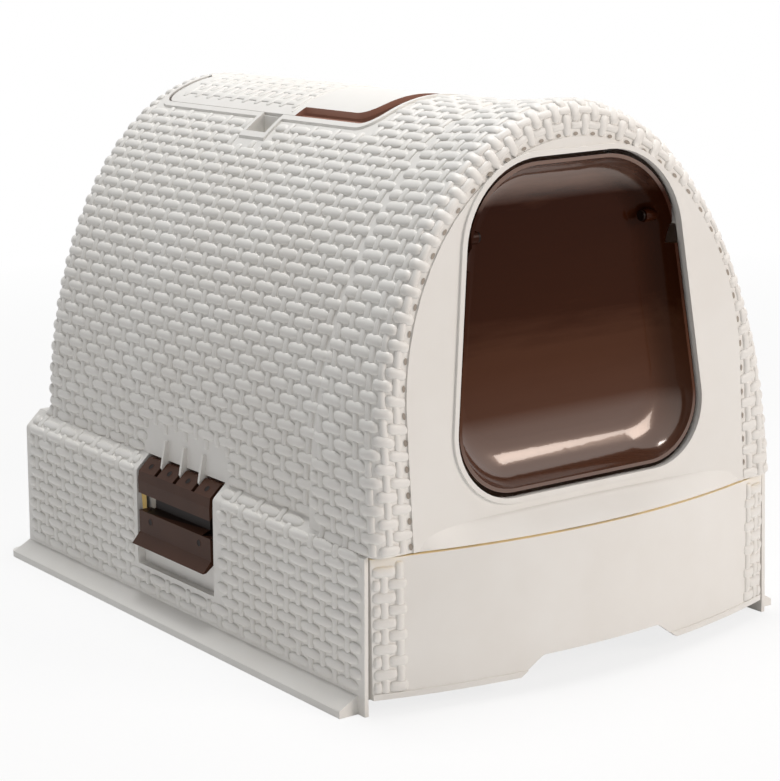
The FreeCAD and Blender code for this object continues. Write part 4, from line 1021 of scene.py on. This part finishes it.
# %% Seam of the lid
SEAM_PLACE = 33
SEAM_HALF_LENGTH = 54
SEAM_HALF_WIDTH = 0.9
SEAM_HEIGHT = 0.7
SEAM_SIDES = 8
SEAM_PARTS = 12
SEAM_CUT_SHARES = [k / SEAM_PARTS for k in range(1 - SEAM_PARTS, SEAM_PARTS)]
SEAM_END_SHARE = 0.02
seam_base, seam_loops = half_round("seam", SEAM_SIDES, SEAM_CUT_SHARES, SEAM_END_SHARE)
seam_spots = lid_chart.lay(seam_base[:, 1] * SEAM_HALF_LENGTH,
                           SEAM_PLACE + seam_base[:, 0] * SEAM_HALF_WIDTH, seam_base[:, 2] * SEAM_HEIGHT)
join_bars("lid_seam", [(seam_spots, seam_loops)], "lid")

# %% [markdown]
# ## Eyelets of the clips
# Each clip has small moulded eyelets: one on each lug and two on the catching bar. They are cored by pins in
# the mould, so each is a low ring round a very shallow sunk floor, whose near-black is painted shade for the
# depth of the hole. One is modelled from a cylinder and copied to its places, which rays find on the clip's
# faces, because the lugs slope.

# %% One eyelet
EYELET_SIDES = 14
EYELET_RADIUS = 2.9
EYELET_RISE = 0.16
EYELET_RIM = 0.5
EYELET_DIP_SHARE = 0.8
UPWARD_SHARE = 0.9


def eyelet_shape():
    """The mesh of a low ring round a sunk floor, on the origin."""
    bpy.ops.object.select_all(action="DESELECT")
    bpy.ops.mesh.primitive_cylinder_add(vertices=EYELET_SIDES, radius=EYELET_RADIUS * MM,
                                        depth=2 * EYELET_RISE * MM)
    ring = bpy.context.object
    bpy.ops.object.mode_set(mode="EDIT")
    bpy.ops.mesh.select_mode(type="FACE")
    bpy.ops.mesh.select_all(action="DESELECT")
    bpy.ops.object.mode_set(mode="OBJECT")
    for face in ring.data.polygons:
        face.select = face.normal.z > UPWARD_SHARE
    bpy.ops.object.mode_set(mode="EDIT")
    bpy.ops.mesh.inset(thickness=EYELET_RIM * MM)
    dip = (0, 0, -EYELET_DIP_SHARE * EYELET_RISE * MM)
    bpy.ops.mesh.extrude_region_move(TRANSFORM_OT_translate={"value": dip})
    bpy.ops.object.mode_set(mode="OBJECT")
    shape = ring.data
    bpy.data.objects.remove(ring)
    return shape


eyelet = eyelet_shape()
print("an eyelet has", len(eyelet.polygons), "faces")

# %% Eyelets on both clips
LUG_OUT = 172
LUG_HEIGHT = 110.5
LUG_PLACES = (54, 27.6, 1.4, -25)
LUG_SLANT_SHARE = 0.8
LUG_CAST = 40
BAR_CAST = 230
BAR_HEIGHT = 70
BAR_PLACES = (49, -20)


def eyelet_rays(sign):
    """Rays at the lugs and the bar of one clip."""
    slant = Vector((-sign, 0, -LUG_SLANT_SHARE)).normalized()
    lugs = [(Vector((sign * LUG_OUT, y, LUG_HEIGHT)) - slant * LUG_CAST, slant) for y in LUG_PLACES]
    bar = [(Vector((sign * BAR_CAST, y, BAR_HEIGHT)), Vector((-sign, 0, 0))) for y in BAR_PLACES]
    return lugs + bar


for side, sign in SIDES:
    skin = skin_of(f"clip_{side}")
    copies = []
    for start, way in eyelet_rays(sign):
        hit, normal, _, _ = skin.ray_cast(start * MM, way)
        copy = bpy.data.objects.new("eyelet", eyelet.copy())
        bpy.context.scene.collection.objects.link(copy)
        turn = normal.to_track_quat("Z", "Y").to_matrix().to_4x4()
        copy.data.transform(Matrix.Translation(hit) @ turn)
        copies.append(copy)
    bpy.ops.object.select_all(action="DESELECT")
    for copy in copies:
        copy.select_set(True)
    bpy.context.view_layer.objects.active = copies[0]
    bpy.ops.object.join()
    piece = bpy.context.object
    piece.name = f"clip_eyelets_{side}"
    piece.data.materials.append(brown)
    piece.data.materials.append(pin_acetal_and_painted_shade)
    # Only the sunk floor, and the back that lies on the clip, have more than four corners; they take the
    # near-black, which on the floor is painted shade.
    for face in piece.data.polygons:
        face.material_index = 1 if len(face.vertices) > 4 else 0
    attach(piece, f"{side}_clip")
    print(piece.name, "has", len(copies), "eyelets")
bpy.data.meshes.remove(eyelet)

# %% [markdown]
# ## Inner walls of the finger pockets
# In the roof, the finger pocket beside the lid is ivory all round, so a thin wall of the hood closes
# its inner side. It is a plate with rounded edges, so a box is sized in edit mode and its edges are
# bevelled.

# %% Pocket walls
WALL_SIZE = (1.0, 25.6, 20.4)
WALL_PLACE = (58.8, 51, 348.2)
WALL_ROUND = 0.4
SMOOTH_ANGLE = math.radians(30)
for side, sign in SIDES:
    bpy.ops.object.select_all(action="DESELECT")
    bpy.ops.mesh.primitive_cube_add(size=1)
    wall = bpy.context.object
    wall.name = f"pocket_wall_{side}"
    bpy.ops.object.mode_set(mode="EDIT")
    bpy.ops.transform.resize(value=[length * MM for length in WALL_SIZE])
    bpy.ops.transform.translate(value=(sign * WALL_PLACE[0] * MM, WALL_PLACE[1] * MM, WALL_PLACE[2] * MM))
    bpy.ops.mesh.bevel(offset=WALL_ROUND * MM, segments=2, affect="EDGES")
    bpy.ops.object.mode_set(mode="OBJECT")
    bpy.ops.object.shade_smooth_by_angle(angle=SMOOTH_ANGLE)
    wall.data.materials.append(ivory)
    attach(wall, "housing")
    print(wall.name, "has", len(wall.data.polygons), "faces")
